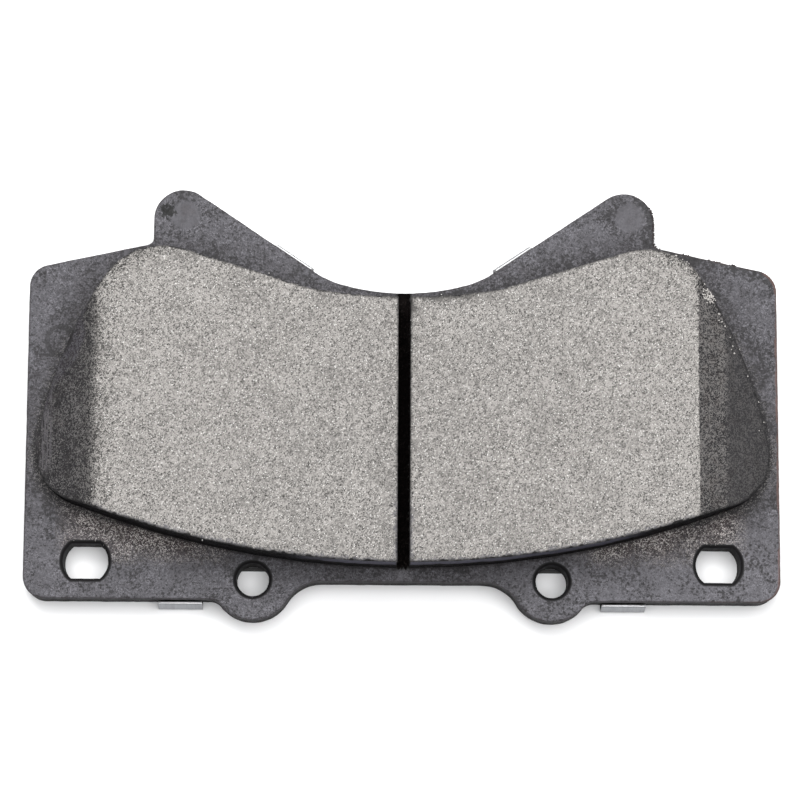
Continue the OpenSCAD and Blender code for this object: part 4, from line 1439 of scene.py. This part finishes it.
def make_camera(settings):
    """A long lens above the pad, a little below its middle."""
    data = bpy.data.cameras.new("camera")
    data.sensor_width = 36.0
    data.lens = settings.lens
    data.clip_start, data.clip_end = 0.01, 10.0
    camera = bpy.data.objects.new("camera", data)
    eye, target = Vector(settings.camera), Vector(settings.target)
    ahead = (target - eye).normalized()
    upward = Vector((1, 0, 0)).cross(ahead)
    if upward.dot(Vector((0, 1, 0))) < 0:
        upward = -upward
    right = ahead.cross(upward).normalized()
    upward = right.cross(ahead).normalized()
    turn, lean = math.cos(settings.roll), math.sin(settings.roll)
    right, upward = right * turn + upward * lean, upward * turn - right * lean
    camera.matrix_world = Matrix((
        (right.x, upward.x, -ahead.x, eye.x),
        (right.y, upward.y, -ahead.y, eye.y),
        (right.z, upward.z, -ahead.z, eye.z),
        (0, 0, 0, 1)))
    bpy.context.scene.collection.objects.link(camera)
    bpy.context.scene.camera = camera


def make_stage(settings):
    """Pale floor, soft lights and the camera."""
    scene = bpy.context.scene
    mesh = bpy.data.meshes.new("floor")
    plan, faces = cells_over((-FLOOR_HALF, -FLOOR_HALF), (FLOOR_HALF, FLOOR_HALF), FLOOR_HALF)
    mesh.from_pydata(flat_points(plan).tolist(), [], faces)
    mesh.materials.append(floor_finish(settings))
    floor = bpy.data.objects.new("floor", mesh)
    scene.collection.objects.link(floor)
    middle = (CAD_BOX[0] + CAD_BOX[1]) / 2
    add_light("key", (-0.12, 0.42, 0.62), middle, 0.55, settings.key)
    add_light("fill", (0.10, 0.05, 0.85), middle, 1.05, settings.fill)
    world = bpy.data.worlds.new("soft_room")
    world.use_nodes = True
    bench = Bench(world.node_tree)
    _, across, up = bench.split(bench.field("ShaderNodeTexCoord", None, "Generated"))
    rise = across * 0.8 + up * 0.6
    tint = bench.mix(rise.step(-0.55, 0.55), (0.05, 0.05, 0.055), (1.0, 1.0, 1.0))
    background = world.node_tree.nodes["Background"]
    world.node_tree.links.new(tint.socket, background.inputs["Color"])
    background.inputs["Strength"].default_value = settings.sky
    scene.world = world
    scene.view_settings.view_transform = "Standard"
    scene.view_settings.look = "None"
    make_camera(settings)


# ---------------------------------------------------------------- operators


class BRAKEPAD_OT_plate(bpy.types.Operator):
    """Make the coated backing plate"""

    bl_idname = "brakepad.plate"
    bl_label = "Backing plate"

    def execute(self, context):
        make_plate(context.scene.pad_plate)
        return {"FINISHED"}


class BRAKEPAD_OT_blocks(bpy.types.Operator):
    """Make the two friction blocks, with the flakes in their faces"""

    bl_idname = "brakepad.blocks"
    bl_label = "Friction blocks"

    def execute(self, context):
        settings, loose = context.scene.pad_friction, context.scene.pad_loose
        bright = crumb_finish("bright_flakes", (0.30, 0.29, 0.28), (0.78, 0.77, 0.76))
        for node, side, seed, name in (("friction_left", -1, 11, "flakes_left"),
                                       ("friction_right", 1, 31, "flakes_right")):
            plan, distance, crest = make_block(settings, node, side, seed)
            make_flakes(loose, name, plan, distance, crest, side, bright, loose.seed + seed)
        return {"FINISHED"}


class BRAKEPAD_OT_layers(bpy.types.Operator):
    """Make the underlayers and finish the adhesive films"""

    bl_idname = "brakepad.layers"
    bl_label = "Underlayers and adhesive"

    def execute(self, context):
        settings = context.scene.pad_layers
        make_underlayer(settings, "underlayer_left", -1, 51)
        make_underlayer(settings, "underlayer_right", 1, 61)
        adhesive = adhesive_finish(settings)
        paint_node("bond_film_left", adhesive)
        paint_node("bond_film_right", adhesive)
        return {"FINISHED"}


class BRAKEPAD_OT_shims(bpy.types.Operator):
    """Make the clip shim and finish the damping shim under it"""

    bl_idname = "brakepad.shims"
    bl_label = "Shims"

    def execute(self, context):
        settings = context.scene.pad_shims
        make_clip_shim(settings)
        core = steel_finish("shim_steel", tuple(settings.core), 0.38, (5.0, 0.08, 0.08))
        paint_node("inner_shim_core", core)
        rubber = rubber_finish(settings)
        paint_node("inner_shim_front_rubber", rubber)
        paint_node("inner_shim_rear_rubber", rubber)
        return {"FINISHED"}


class BRAKEPAD_OT_loose(bpy.types.Operator):
    """Scatter the crumbs, the crusts of coat and the grit"""

    bl_idname = "brakepad.loose"
    bl_label = "Crumbs, crusts and grit"

    def execute(self, context):
        make_crumbs(context.scene.pad_loose)
        make_burrs(context.scene.pad_loose)
        make_grit(context.scene.pad_loose)
        return {"FINISHED"}


class BRAKEPAD_OT_stage(bpy.types.Operator):
    """Make the floor, the lights and the camera"""

    bl_idname = "brakepad.stage"
    bl_label = "Stage"

    def execute(self, context):
        make_stage(context.scene.pad_stage)
        return {"FINISHED"}


OPERATORS = (BRAKEPAD_OT_plate, BRAKEPAD_OT_blocks, BRAKEPAD_OT_layers, BRAKEPAD_OT_shims,
             BRAKEPAD_OT_loose, BRAKEPAD_OT_stage)
SETTINGS = {"pad_plate": PlateSettings, "pad_friction": FrictionSettings, "pad_layers": LayerSettings,
            "pad_shims": ShimSettings, "pad_loose": LooseSettings, "pad_stage": StageSettings}


class BRAKEPAD_PT_panel(bpy.types.Panel):
    """Lists the pieces of the brake pad and their settings"""

    bl_idname = "BRAKEPAD_PT_panel"
    bl_label = "Brake pad"
    bl_space_type = "VIEW_3D"
    bl_region_type = "UI"
    bl_category = "Brake pad"

    def draw(self, context):
        for operator, key in zip(OPERATORS, SETTINGS):
            box = self.layout.box()
            box.operator(operator.bl_idname)
            group = getattr(context.scene, key)
            for name in group.bl_rna.properties.keys():
                if name not in {"rna_type", "name"}:
                    box.prop(group, name)


def register():
    for kind in (*SETTINGS.values(), *OPERATORS, BRAKEPAD_PT_panel):
        bpy.utils.register_class(kind)
    for key, kind in SETTINGS.items():
        setattr(bpy.types.Scene, key, PointerProperty(type=kind))


def unregister():
    for key in SETTINGS:
        delattr(bpy.types.Scene, key)
    for kind in reversed((*SETTINGS.values(), *OPERATORS, BRAKEPAD_PT_panel)):
        bpy.utils.unregister_class(kind)


def main():
    register()
    for operator in OPERATORS:
        group, name = operator.bl_idname.split(".")
        getattr(getattr(bpy.ops, group), name)()


if __name__ == "__main__":
    main()
